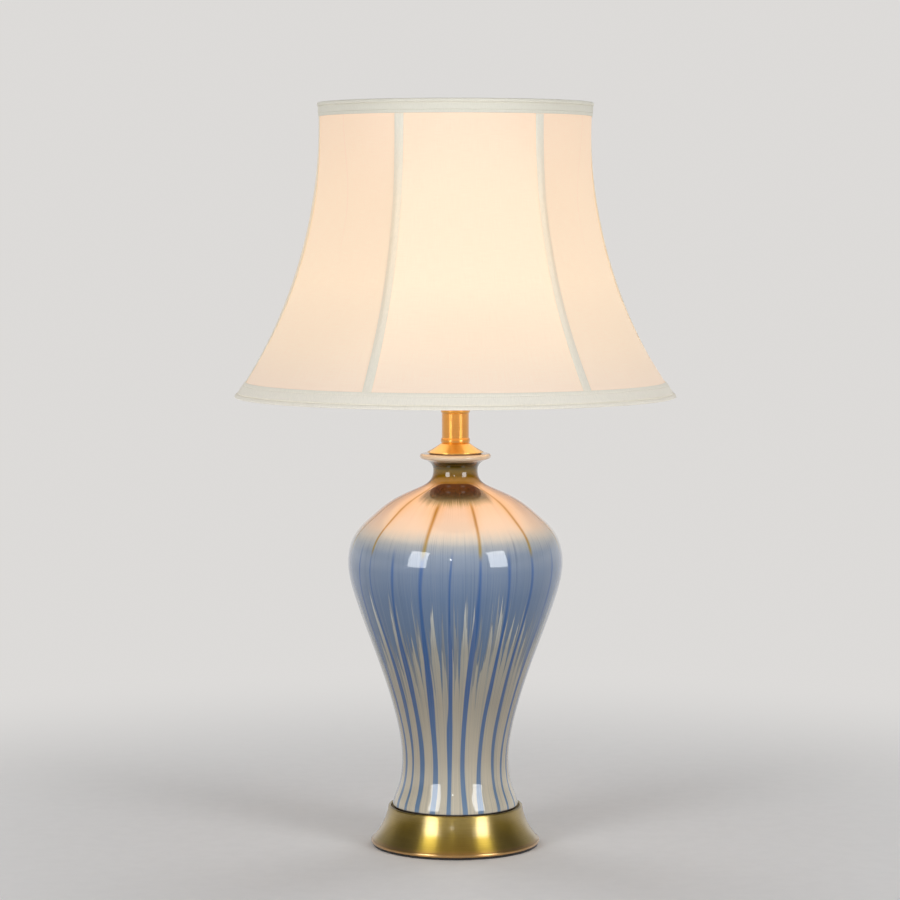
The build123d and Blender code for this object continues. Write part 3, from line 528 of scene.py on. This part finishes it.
    def amber_trails(self, colour):
        """Amber trails that run down from the neck and turn olive at their ends."""
        mask = self.times(self.trail_mask(1.0, 1.0), self.rise(self.z, *TRAIL_LOW))
        mask = self.times(mask, self.rise(self.fine, 0.25, 0.6, 0.7, 1.0))
        hue = self.mix(self.rise(self.z, *TRAIL_END_TOP), TRAIL_END, TRAIL_AMBER)
        return self.mix(mask, colour, hue)

    def olive_neck(self, colour):
        """Olive neck in faint rings, amber at its root, and darkest in painted shade just under the lip."""
        rings = self.noise(self.joined(0.0, 0.0, self.times(self.z, 420.0)), 1.0, 2.0)
        hue = self.mix(self.rise(rings, 0.42, 0.7, 0.0, 0.4), self.ramp(self.z, NECK_HUES), NECK_RINGS)
        return self.mix(self.rise(self.z, *NECK_LOW), colour, hue)

    def dark_pool_and_reflection(self, colour):
        """Dark pools at the neck's root, before and behind, that run out in hairs: partly pooled glaze,
        partly a painted reflection of the dark neck in the glossy shoulder.
        """
        runs = self.add(self.z, self.uneven(self.hairs, POOL_REFLECTION_RUNS))
        drop = self.power(self.over(self.minus(POOL_REFLECTION_TOP, runs), POOL_REFLECTION_DEPTH), 2.0)
        sideways = self.math("PINGPONG", self.turn(), 0.25)
        reach = self.power(self.over(sideways, POOL_REFLECTION_REACH), 4.0)
        mask = self.rise(self.add(drop, reach), 1.15, 0.5)
        crown = self.times(self.power(self.over(sideways, POOL_REFLECTION_CROWN_REACH), 6.0), POOL_REFLECTION_CROWN)
        mask = self.times(mask, self.rise(self.add(self.z, crown), *POOL_REFLECTION_TOP_EDGE))
        hue = self.ramp(self.z, POOL_REFLECTION_HUES)
        hue = self.mix(self.rise(self.hairs, 0.45, 0.75, 0.0, 0.5), hue, POOL_REFLECTION_HAIRS)
        return self.mix(mask, colour, hue)

    def lip_and_foot(self, colour):
        """Cream lip, and a painted shadow at the foot, where the vase sits down in the base."""
        colour = self.mix(self.rise(self.z, *LIP_LOW), colour, LIP_CREAM)
        return self.mix(self.rise(self.z, *FOOT_TOP), colour, FOOT_SHADOW)


def drip_glaze():
    """Blue-grey glaze with cream drips and blue stripes, under a cream shoulder with amber trails."""
    glaze = Glaze("drip_glaze")
    colour = glaze.blue_band()
    colour = glaze.cream_drips(colour)
    colour = glaze.blue_stripes(colour)
    colour = glaze.cream_shoulder(colour)
    colour = glaze.amber_trails(colour)
    colour = glaze.olive_neck(colour)
    colour = glaze.dark_pool_and_reflection(colour)
    colour = glaze.lip_and_foot(colour)
    relief = glaze.add(glaze.times(glaze.drips, 0.5), glaze.times(glaze.fine, 0.35))
    return glaze.set(
        Base_Color=colour,
        Roughness=glaze.rise(glaze.fine, 0.2, 0.8, 0.07, 0.15),
        Specular_IOR_Level=0.1,
        Coat_Weight=1.0,
        Coat_Roughness=0.03,
        Coat_IOR=1.55,
        Normal=glaze.bump(relief, 0.0002, 0.3),
    )


# Metals
def brushed_brass(name, bright, deep, line, roughness, foot=None):
    """Lacquered brass, brushed round the axis, so that reflections spread up and down; a little tarnish, and
    a painted reflection along the foot where a foot colour is given.
    """
    paint = Finish(name)
    lines = paint.round_noise(1.4, 2600.0, 3.0, 0.7)
    clouds = paint.noise(paint.place, 34.0, 4.0, 0.6)
    colour = paint.mix(paint.rise(clouds, 0.3, 0.75), bright, deep)
    colour = paint.mix(paint.rise(lines, 0.35, 0.7, 0.0, 0.35), colour, line)
    # Painted reflection: a warmer, lighter colour along the lower edge
    if foot:
        colour = paint.mix(paint.rise(paint.height(), 0.0085, 0.003, 0.0, 0.8), colour, foot)
    return paint.set(
        Base_Color=colour,
        Metallic=1.0,
        Roughness=paint.rise(lines, 0.2, 0.8, roughness, roughness + 0.07),
        Anisotropic=0.92,
        Anisotropic_Rotation=0.25,
        Tangent=paint.step("ShaderNodeTangent", {}, direction_type="RADIAL", axis="Z"),
        Coat_Weight=1.0,
        Coat_Roughness=0.2,
        Coat_IOR=1.75,
        Normal=paint.bump(lines, 0.00004, 0.3),
    )


def polished_brass(name, bright, deep, roughness):
    """Lacquered brass, with faint turning lines and cloudy lacquer."""
    paint = Finish(name)
    lines = paint.round_noise(1.0, 1900.0, 2.0, 0.6)
    clouds = paint.noise(paint.place, 90.0, 3.0, 0.6)
    return paint.set(
        Base_Color=paint.mix(paint.rise(clouds, 0.3, 0.75), bright, deep),
        Metallic=1.0,
        Roughness=paint.rise(lines, 0.25, 0.8, roughness, roughness + 0.1),
        Normal=paint.bump(lines, 0.00003, 0.3),
    )


def plated_metal(name, bright, deep, roughness, thread_pitch=None):
    """Plated steel or nickel; a thread pitch adds fine thread lines."""
    paint = Finish(name)
    scratches = paint.noise(paint.place, 420.0, 3.0, 0.7)
    height = paint.times(scratches, 0.15)
    if thread_pitch:
        thread = paint.math("SINE", paint.times(paint.height(), 2 * pi / thread_pitch))
        height = paint.add(height, thread)
    return paint.set(
        Base_Color=paint.mix(paint.rise(scratches, 0.35, 0.7), bright, deep),
        Metallic=1.0,
        Roughness=paint.rise(scratches, 0.3, 0.75, roughness, roughness + 0.14),
        Normal=paint.bump(height, 0.0001, 0.5),
    )


# Moulded and cast pieces
def grained(name, light, dark, scale, depth, roughness):
    """Moulded, cast or coated surface: mottled colour and a fine grain."""
    paint = Finish(name)
    mottle = paint.noise(paint.place, scale * 0.2, 3.0, 0.6)
    grain = paint.noise(paint.place, scale, 3.0, 0.65)
    return paint.set(
        Base_Color=paint.mix(paint.rise(mottle, 0.3, 0.72), light, dark),
        Roughness=paint.rise(grain, 0.3, 0.7, roughness - 0.06, roughness + 0.06),
        Normal=paint.bump(grain, depth, 0.6),
    )


def fibre_board():
    paint = Finish("fibre_board")
    fibres = paint.drawn_noise(paint.place, (240.0, 900.0, 900.0), 3.0, 0.7)
    return paint.set(
        Base_Color=paint.mix(paint.rise(fibres, 0.3, 0.7), (0.17, 0.095, 0.045), (0.26, 0.155, 0.08)),
        Roughness=paint.rise(fibres, 0.3, 0.7, 0.68, 0.85),
        Normal=paint.bump(fibres, 0.0002, 0.5),
    )


def felt():
    paint = Finish("dark_felt")
    fuzz = paint.noise(paint.place, 1300.0, 4.0, 0.75)
    tufts = paint.noise(paint.place, 260.0, 3.0, 0.6)
    return paint.set(
        Base_Color=paint.mix(paint.rise(fuzz, 0.3, 0.7), (0.010, 0.009, 0.008), (0.036, 0.031, 0.027)),
        Roughness=paint.rise(tufts, 0.3, 0.7, 0.9, 1.0),
        Sheen_Weight=0.25,
        Normal=paint.bump(paint.add(fuzz, tufts), 0.0004, 0.7),
    )


def opal_diffuser():
    """Frosted cover of the bulb, lit from inside and dimmer towards its seam."""
    paint = Finish("lit_opal")
    z = paint.height()
    low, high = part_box("bulb_diffuser")
    frost = paint.noise(paint.place, 900.0, 2.0, 0.6)
    glow = paint.ramp(z, [
        (low.z, (0.55, 0.42, 0.26)),
        (low.z + 0.012, (1.0, 0.86, 0.62)),
        (high.z, (1.0, 0.92, 0.74)),
    ])
    return paint.set(
        Base_Color=paint.mix(paint.rise(frost, 0.3, 0.7), (0.88, 0.86, 0.80), (0.80, 0.77, 0.70)),
        Roughness=paint.rise(frost, 0.3, 0.7, 0.42, 0.58),
        Emission_Color=glow,
        Emission_Strength=0.55,
        Normal=paint.bump(frost, 0.00005, 0.4),
    )


# Cloths
def weave_height(paint, pitch):
    """Plain weave over the piece's UV map, which is in metres."""
    across, along, _ = paint.parts(paint.uv)
    warp = paint.math("SINE", paint.times(across, 2 * pi / pitch))
    weft = paint.math("SINE", paint.times(along, 2 * pi / pitch))
    return paint.times(warp, weft)


def slubs(paint):
    """Thicker threads that run along and across the cloth."""
    along = paint.drawn_noise(paint.uv, (2600.0, 60.0, 1.0))
    across = paint.drawn_noise(paint.uv, (60.0, 2600.0, 1.0))
    return paint.times(paint.add(along, across), 0.5)


def cover_cloth():
    """Outer cloth with a painted warm glow, for the bulb's light through it, that peaks at the bulb's height.
    """
    paint = Finish("cover_cloth")
    z = paint.height()
    thread = slubs(paint)
    weave = weave_height(paint, COVER_WEAVE)
    glow = paint.ramp(z, [
        (SHADE_LOW + 0.006, (0.38, 0.265, 0.19)),
        (SHADE_LOW + 0.045, (0.48, 0.33, 0.205)),
        (SHADE_LOW + 0.100, (0.55, 0.37, 0.21)),
        (SHADE_LOW + 0.170, (0.51, 0.325, 0.175)),
        (SHADE_LOW + 0.240, (0.45, 0.270, 0.145)),
    ])
    glow = paint.mix(paint.rise(thread, 0.38, 0.62, 0.0, 0.05), glow, (0.16, 0.10, 0.05))

    # Painted shade: the lining's seams show through the upper half as faint darker lines in the glow
    first_seam = (FIRST_RIB_ANGLE - 180 / GORES) / 360
    seam = paint.math("FRACT", paint.times(
        paint.add(paint.turn(), 0.5 / LINING_PIECES - first_seam), LINING_PIECES))
    off_seam = paint.math("ABSOLUTE", paint.minus(seam, 0.5))
    seam_shade_mask = paint.times(
        paint.rise(off_seam, 0.0008, 0.0045, 0.16, 0.0), paint.rise(z, SHADE_LOW + 0.10, SHADE_LOW + 0.17))
    glow = paint.mix(seam_shade_mask, glow, (0.05, 0.03, 0.015))
    return paint.set(
        Base_Color=paint.mix(paint.rise(thread, 0.38, 0.62), (0.60, 0.54, 0.465), (0.575, 0.515, 0.44)),
        Roughness=paint.rise(thread, 0.3, 0.7, 0.78, 0.9),
        Sheen_Weight=0.08,
        Emission_Color=glow,
        Emission_Strength=1.0,
        Normal=paint.bump(paint.add(paint.times(weave, 0.35), thread), 0.0001, 0.2),
    )


def lining_cloth():
    """Smooth inner cloth with a painted glow of the bulb's light, brightest round the bulb."""
    paint = Finish("lining_cloth")
    z = paint.height()
    thread = slubs(paint)
    glow = paint.ramp(z, [
        (SHADE_LOW, (0.84, 0.57, 0.35)),
        (SHADE_LOW + 0.10, (1.0, 0.715, 0.465)),
        (SHADE_TOP, (0.64, 0.42, 0.24)),
    ])
    return paint.set(
        Base_Color=paint.mix(paint.rise(thread, 0.38, 0.62), (0.45, 0.39, 0.33), (0.41, 0.355, 0.30)),
        Roughness=paint.rise(thread, 0.3, 0.7, 0.72, 0.86),
        Emission_Color=glow,
        Emission_Strength=1.0,
        Normal=paint.bump(thread, 0.0001, 0.3),
    )


def trim_tape(name, light, glow, heart=None):
    """Off-white tape with fine ribs along its run, shown by a painted shaded copy of its colour, and a
    painted glow of light through it.

    heart is the glow at the bulb's height, where it differs from the one at the ends."""
    paint = Finish(name)
    ribs = paint.round_noise(330.0, 330.0, 2.0, 0.6)
    threads = paint.drawn_noise(paint.place, (700.0, 700.0, 2400.0))
    shaded = tuple(0.95 * level for level in light)
    lit = glow
    if heart:
        lit = paint.ramp(paint.height(), [
            (SHADE_LOW + 0.030, glow),
            (SHADE_LOW + 0.120, heart),
            (SHADE_LOW + 0.165, heart),
            (SHADE_TOP - 0.020, glow),
        ])
    return paint.set(
        Base_Color=paint.mix(paint.rise(ribs, 0.3, 0.72), light, shaded),
        Roughness=paint.rise(threads, 0.3, 0.7, 0.7, 0.86),
        Sheen_Weight=0.1,
        Emission_Color=paint.mix(paint.rise(ribs, 0.3, 0.72, 0.0, 0.2), lit, (0, 0, 0)),
        Emission_Strength=1.0,
        Normal=paint.bump(paint.add(ribs, threads), 0.0001, 0.4),
    )


STEEL_BRIGHT = (0.62, 0.62, 0.63)
STEEL_DEEP = (0.50, 0.50, 0.52)
NICKEL_BRIGHT = (0.74, 0.73, 0.70)
NICKEL_DEEP = (0.62, 0.61, 0.59)

finishes = {
    "felt": felt(),
    "board": fibre_board(),
    "base_brass": brushed_brass(
        "base_brass", (0.56, 0.38, 0.050), (0.44, 0.29, 0.034), (0.66, 0.47, 0.085), 0.33,
        foot=(0.72, 0.38, 0.12)),
    "neck_brass": brushed_brass(
        "neck_brass", (0.82, 0.36, 0.018), (0.75, 0.31, 0.012), (0.88, 0.43, 0.05), 0.28),
    "ballast_iron": grained(
        "cast_iron", (0.05, 0.05, 0.052), (0.085, 0.075, 0.068), 420.0, 0.0006, 0.7),
    "rubber": grained(
        "brown_rubber", (0.040, 0.024, 0.016), (0.060, 0.036, 0.022), 700.0, 0.0002, 0.62),
    "steel": plated_metal("plated_steel", STEEL_BRIGHT, STEEL_DEEP, 0.26, thread_pitch=0.001),
    "glaze": drip_glaze(),
    "bush_plastic": grained("bush_plastic", (0.62, 0.60, 0.55), (0.54, 0.52, 0.47), 500.0, 0.0001, 0.5),
    "holder_metal": polished_brass("holder_brass", (0.62, 0.43, 0.17), (0.53, 0.36, 0.13), 0.28),
    "porcelain": grained("porcelain", (0.76, 0.75, 0.71), (0.70, 0.68, 0.63), 300.0, 0.0001, 0.3),
    "contact_brass": plated_metal("contact_brass", (0.72, 0.50, 0.20), (0.58, 0.39, 0.14), 0.24),
    "holder_plastic": grained(
        "holder_plastic", (0.045, 0.044, 0.043), (0.065, 0.063, 0.06), 600.0, 0.0001, 0.42),
    "bulb_nickel": plated_metal("bulb_nickel", NICKEL_BRIGHT, NICKEL_DEEP, 0.24),
    "bulb_insulator": grained(
        "bulb_insulator", (0.02, 0.02, 0.024), (0.03, 0.03, 0.03), 500.0, 0.0001, 0.25),
    "bulb_plastic": grained(
        "bulb_plastic", (0.80, 0.79, 0.76), (0.74, 0.73, 0.69), 700.0, 0.0001, 0.45),
    "bulb_opal": opal_diffuser(),
    "board_metal": grained("solder_mask", (0.80, 0.80, 0.79), (0.74, 0.74, 0.72), 500.0, 0.0001, 0.4),
    "chip_phosphor": grained("chip_gel", (0.80, 0.58, 0.07), (0.72, 0.50, 0.05), 900.0, 0.0001, 0.3),
    "frame_wire": grained("coated_wire", (0.72, 0.70, 0.64), (0.66, 0.63, 0.56), 800.0, 0.0001, 0.4),
    "cover_cloth": cover_cloth(),
    "lining_cloth": lining_cloth(),
    "trim_cloth": trim_tape("trim_tape", (0.795, 0.78, 0.71), (0.125, 0.09, 0.05)),
}

# Nodes that look unlike the others of their slot
own_finishes = {
    # Painted light: the cap's brass is a brighter, yellower copy of the neck's, for the warm light that falls
    # on it
    "vase_cap": brushed_brass(
        "lit_cap_brass", (1.0, 0.62, 0.12), (0.95, 0.56, 0.10), (1.0, 0.66, 0.15), 0.28),
    "cap_gasket": grained("cork_gasket", (0.34, 0.17, 0.07), (0.24, 0.12, 0.05), 900.0, 0.0002, 0.7),
}

for part in frame["record"]["subparts"]:
    mesh = frame["nodes"][part["node"]].data
    mesh.materials.clear()
    mesh.materials.append(own_finishes.get(part["node"], finishes[part["material_slot"]]))


def dress(piece, body, slot, *nodes, finish=None):
    """Gives a new piece its finish and body, and hides the CAD nodes that it stands for."""
    piece.data.materials.clear()
    piece.data.materials.append(finish or finishes[slot])
    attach(piece, body)
    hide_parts(*nodes)
    return piece


# Shade: shape of the cloth, as the frame's ribs and rings carry it
waist_z = SHADE_TOP - SHADE_WAIST_DROP
bell_out = SHADE_BOTTOM_R - SHADE_WAIST_R
bell_arc_r = ((waist_z - SHADE_LOW) ** 2 + bell_out ** 2) / (2 * bell_out)
gore_angle = 360 / GORES
rib_angles = [FIRST_RIB_ANGLE + gore_angle * gore for gore in range(GORES)]
tight_low = SHADE_LOW + BOTTOM_TRIM_H
tight_top = SHADE_TOP - TOP_TRIM_H
cloth_low = SHADE_LOW + EDGE_CLEAR
cloth_top = SHADE_TOP - EDGE_CLEAR


def bell_r(z, inset=0.0):
    """Radius of the shade at a rib, set in from the cover's outside."""
    return SHADE_WAIST_R + bell_arc_r - sqrt((bell_arc_r + inset) ** 2 - (waist_z - z) ** 2)


def pull_in(z):
    """How far the stretched cloth leaves the round towards a flat panel: none at the trims."""
    from_trim = max(min(z - tight_low, tight_top - z), 0)
    return FLATNESS * (1 - cos(pi * min(from_trim / FLATNESS_EASE, 1))) / 2


def cloth_point(z, angle, inset):
    """Point on the cloth, whose section between two ribs is one arc."""
    off_middle = radians((angle - FIRST_RIB_ANGLE) % gore_angle - gore_angle / 2)
    half = radians(gore_angle / 2)
    rib_r = bell_r(z, inset)
    middle_r = rib_r * (1 - pull_in(z) * (1 - cos(half)))
    if rib_r - middle_r < LEAST_FLATNESS:
        return polar(rib_r, angle, z)
    centre = (rib_r ** 2 - middle_r ** 2) / (2 * (rib_r * cos(half) - middle_r))
    reach = sqrt((middle_r - centre) ** 2 - (centre * sin(off_middle)) ** 2)
    return polar(centre * cos(off_middle) + reach, angle, z)


def line_length(low, high, steps=40):
    """Length of a rib's line between two heights."""
    heights = [low + (high - low) * step / steps for step in range(steps + 1)]
    spots = [Vector((bell_r(z), z)) for z in heights]
    return sum((there - here).length for here, there in zip(spots, spots[1:]))


def cloth_panel(name, start, sweep, inset, across):
    """Panel of cloth between two angles, from the lower edge to the upper one."""
    def place(u, v):
        z = cloth_low + (cloth_top - cloth_low) * v
        split = degrees(SPLIT / bell_r(z))
        angle = start + split + (sweep - 2 * split) * u
        return cloth_point(z, angle, inset)

    mean_width = radians(sweep) * (bell_r(cloth_low) + bell_r(cloth_top)) / 2
    return cloth_grid(name, across, GRID_UP, place, mean_width, line_length(cloth_low, cloth_top))


def cut_of(piece, sweep, inset):
    """Flat size and area of a panel's cut: its widest width, its length and the area of its own outside."""
    flat = (radians(sweep) * bell_r(cloth_low, inset), line_length(cloth_low, cloth_top))
    area = sum(face.area for face in piece.data.polygons)
    return flat, min(area, flat[0] * flat[1])


# Seam strips, with a low crown and thin edges
STRIP_EDGE_FALL = 0.45
STRIP_EDGE_POWER = 6
STRIP_WALL = 0.55
strip_finish = trim_tape("seam_tape", (0.785, 0.755, 0.63), (0.095, 0.07, 0.07), heart=(0.21, 0.085, 0.0))
strip_length = line_length(tight_low, tight_top)


def seam_strip(name, rib_angle):
    """Strip sewn over a rib's seam."""
    def place(u, v):
        z = tight_low + CLOTH_GAP + (tight_top - tight_low - 2 * CLOTH_GAP) * v
        half = degrees(STRIP_W / 2 / bell_r(z))
        side = 2 * u - 1
        crown = STRIP_T * (1 - STRIP_EDGE_FALL * abs(side) ** STRIP_EDGE_POWER)
        return cloth_point(z, rib_angle + half * side, -CLOTH_GAP - crown)

    strip = cloth_grid(name, STRIP_ACROSS, GRID_UP, place, STRIP_W, strip_length)
    apply_modifier(strip, "SOLIDIFY", thickness=STRIP_T * STRIP_WALL, offset=-1.0)
    smooth(strip)
    return dress(strip, "shade", "trim_cloth", "seam_strips", finish=strip_finish)


strips = [seam_strip(f"seam_strip_{number}", angle) for number, angle in enumerate(rib_angles, 1)]

# Cover and lining
for number, rib_angle in enumerate(rib_angles, 1):
    gore = cloth_panel(f"shade_gore_{number}", rib_angle, gore_angle, 0.0, GRID_ACROSS)
    flat, area = cut_of(gore, gore_angle, 0.0)
    apply_modifier(gore, "SOLIDIFY", thickness=COVER_T, offset=-1.0)
    smooth(gore)
    dress(gore, "shade", "cover_cloth", "shade_cover")

lining_sweep = 360 / LINING_PIECES
for number in range(LINING_PIECES):
    start = FIRST_RIB_ANGLE - gore_angle / 2 + lining_sweep * number
    lining = cloth_panel(f"shade_lining_{number + 1}", start, lining_sweep, LINING_INSET, 2 * GRID_ACROSS)
    flat, area = cut_of(lining, lining_sweep, LINING_INSET)
    apply_modifier(lining, "SOLIDIFY", thickness=LINING_T, offset=-1.0)
    smooth(lining)
    dress(lining, "shade", "lining_cloth", "shade_lining")


# Trims: tape folded over the edge, with a bead along the fold, a flat band and a thin hem
TRIM_T = 0.0009
TRIM_TURN_IN = 0.006
BEAD_H = 0.0034
BEAD_PROUD = 0.0018
BAND_PROUD = 0.0011
HEM_PROUD = 0.0009
GROOVE_PROUD = 0.0006
GROOVE_H = 0.0003
HEM_H = 0.0026
BEAD_STEPS = 8
CORNER_SHARE = 0.7
inner_leg = LINING_INSET + LINING_T + CLOTH_GAP
top_finish = trim_tape("top_tape", (0.77, 0.745, 0.65), (0.02, 0.01, 0.0))


def trim_outline(edge_z, side, height):
    """Closed outline of a trim; side is 1 where it rises from the lower edge and -1 at the top edge."""
    spots = [(height, CLOTH_GAP), (height, HEM_PROUD * CORNER_SHARE), (height - GROOVE_H, HEM_PROUD)]
    hem_low = height - HEM_H
    spots += [(hem_low + GROOVE_H, HEM_PROUD), (hem_low, GROOVE_PROUD), (hem_low - GROOVE_H, BAND_PROUD)]
    spots += [(BEAD_H + 2 * GROOVE_H, BAND_PROUD), (BEAD_H + GROOVE_H, GROOVE_PROUD)]
    for step in range(BEAD_STEPS + 1):
        swing = pi * step / BEAD_STEPS
        proud = GROOVE_PROUD + (BEAD_PROUD - GROOVE_PROUD) * sin(swing)
        spots.append((BEAD_H / 2 * (1 + cos(swing)), proud))
    spots += [(0.0, -inner_leg), (GROOVE_H, -inner_leg - TRIM_T * CORNER_SHARE)]
    spots += [(TRIM_T, -inner_leg - TRIM_T)]
    spots += [(TRIM_TURN_IN, -inner_leg - TRIM_T), (TRIM_TURN_IN, -inner_leg)]
    spots += [(TRIM_T, -inner_leg), (TRIM_T, CLOTH_GAP)]
    outline = []
    for from_edge, proud in spots:
        z = edge_z + side * from_edge
        outline.append((bell_r(z, -proud), z))
    return outline


for name, edge_z, side, height in (
    ("shade_top_tape", SHADE_TOP, -1, TOP_TRIM_H),
    ("shade_bottom_tape", SHADE_LOW, 1, BOTTOM_TRIM_H),
):
    tape = turned_band(name, trim_outline(edge_z, side, height), TRIM_SEGMENTS)
    smooth(tape, angle=30)
    if side < 0:
        dress(tape, "shade", "trim_cloth", "shade_top_trim", finish=top_finish)
    else:
        dress(tape, "shade", "trim_cloth", "shade_bottom_trim")
    outer_leg = line_length(*sorted((edge_z, edge_z + side * height)))
    tape_width = outer_leg + inner_leg + line_length(*sorted((edge_z, edge_z + side * TRIM_TURN_IN)))
    2 * pi * bell_r(edge_z)


# Felt under the base
felt_low, felt_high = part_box("felt_pad")
felt_r = felt_high.x
felt_t = felt_high.z - felt_low.z
start_clean()
bpy.ops.mesh.primitive_cylinder_add(
    vertices=FELT_SEGMENTS, radius=felt_r, depth=felt_t, location=(0, 0, (felt_low.z + felt_high.z) / 2))
felt_disc = named_piece("felt_disc")
bpy.ops.object.transform_apply(location=True)
bpy.ops.object.mode_set(mode="EDIT")
bpy.ops.mesh.select_all(action="DESELECT")
bpy.ops.object.mode_set(mode="OBJECT")
for face in felt_disc.data.polygons:
    face.select = abs(face.normal.z) > 0.9
bpy.ops.object.mode_set(mode="EDIT")
bpy.ops.mesh.inset(thickness=FELT_INSET, depth=0)
bpy.ops.object.mode_set(mode="OBJECT")
apply_modifier(felt_disc, "BEVEL", width=FELT_EDGE_ROUND, segments=3, limit_method="ANGLE")
smooth(felt_disc)
dress(felt_disc, "lamp_body", "felt", "felt_pad")


# Floor, camera and lights
def floor_finish():
    """Pale floor that keeps its shadows near the lamp and fades into the even background far off."""
    paint = Finish("pale_floor")
    rays = paint.tree.nodes.new("ShaderNodeLightPath").outputs
    x, y, _ = paint.parts(paint.place)
    away = paint.step(
        "ShaderNodeVectorMath", {0: paint.joined(x, y, 0.0)}, output="Value", operation="LENGTH")
    grain = paint.noise(paint.place, 60.0, 3.0, 0.6)
    paint.set(
        Base_Color=paint.mix(paint.rise(grain, 0.3, 0.7), (0.80, 0.79, 0.78), (0.78, 0.77, 0.76)),
        Roughness=0.6,
    )
    even = paint.step("ShaderNodeEmission", {"Color": PALE, "Strength": 1.0})
    seen = paint.math("MAXIMUM", rays["Is Camera Ray"], rays["Is Glossy Ray"])
    share = paint.times(seen, paint.rise(away, FLOOR_NEAR, FLOOR_FAR))
    blend = paint.step("ShaderNodeMixShader", {0: share, 1: paint.shader.outputs[0], 2: even})
    paint.put(paint.tree.nodes["Material Output"].inputs["Surface"], blend)
    return paint.material


start_clean()
bpy.ops.mesh.primitive_circle_add(vertices=FLOOR_SEGMENTS, radius=FLOOR_R, fill_type="NGON")
floor = named_piece("floor")
floor.data.materials.append(floor_finish())

bpy.ops.object.camera_add(location=CAMERA_PLACE, rotation=(radians(90 - CAMERA_PITCH), 0, 0))
camera = bpy.context.active_object
camera.data.lens = CAMERA_LENS
camera.data.clip_end = 100.0
bpy.context.scene.camera = camera


def softbox(name, azimuth, elevation, distance, width, height, radiance):
    """Rectangular lamp that faces the object; its power follows from the brightness of its face."""
    target = Vector(LIGHT_TARGET)
    flat_distance = distance * cos(radians(elevation))
    place = target + polar(flat_distance, azimuth, distance * sin(radians(elevation)))
    bpy.ops.object.light_add(type="AREA", location=place)
    light = bpy.context.active_object
    light.name = name
    light.rotation_mode = "QUATERNION"
    light.rotation_quaternion = (target - place).to_track_quat("-Z", "Y")
    light.data.shape = "RECTANGLE"
    light.data.size = width
    light.data.size_y = height
    light.data.energy = radiance * pi * width * height
    light.data.color = COOL_WHITE
    return light


softbox("softbox_left", -41.0, **KEY_LIGHT)
softbox("softbox_right", 46.0, **KEY_LIGHT)
for name, azimuth in (("back_fill_left", -140.0), ("back_fill_right", 140.0)):
    fill = softbox(name, azimuth, **FILL_LIGHT)
    fill.visible_glossy = False
spark = softbox("front_spark", -5.8, **SPARK_LIGHT)
spark.visible_camera = False

# The lit bulb: a round lamp just outside its diffuser
BULB_LIGHT_POWER = 0.88
BULB_LIGHT_COLOUR = (1.0, 0.70, 0.42)
BULB_LIGHT_CLEAR = 0.002
bulb_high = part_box("bulb_diffuser")[1]
bulb_r = bulb_high.x
bpy.ops.object.light_add(type="POINT", location=(0, 0, bulb_high.z - bulb_r))
bulb_light = bpy.context.active_object
bulb_light.name = "bulb_light"
bulb_light.data.energy = BULB_LIGHT_POWER
bulb_light.data.color = BULB_LIGHT_COLOUR
bulb_light.data.shadow_soft_size = bulb_r + BULB_LIGHT_CLEAR
bulb_light.visible_camera = False
bulb_light.visible_glossy = False
bulb_light.parent = frame["bodies"]["bulb"]


def surroundings():
    """Pale light from behind, dim at the sides and overhead, a little from the front; plain to the camera."""
    world = bpy.data.worlds.new("studio")
    bpy.context.scene.world = world
    world.use_nodes = True
    world.node_tree.nodes.clear()
    paint = Nodes(world.node_tree)
    direction = paint.step("ShaderNodeTexCoord", {}, output="Generated")
    _, backwards, upwards = paint.parts(direction)
    levels = [(2 * share - 1, (level, level, level)) for share, level in LOW_SURROUNDINGS]
    low_down = paint.ramp(backwards, levels)
    all_round = paint.mix(paint.rise(upwards, *OVERHEAD_FADE), low_down, OVERHEAD)
    with_floor = paint.mix(paint.rise(upwards, 0.0, SKYLINE), PALE, all_round)
    camera_ray = paint.step("ShaderNodeLightPath", {}, output="Is Camera Ray")
    background = paint.step("ShaderNodeBackground", {"Color": paint.mix(camera_ray, with_floor, PALE)})
    output = world.node_tree.nodes.new("ShaderNodeOutputWorld")
    paint.put(output.inputs["Surface"], background)


surroundings()
bpy.context.scene.view_settings.view_transform = "Standard"
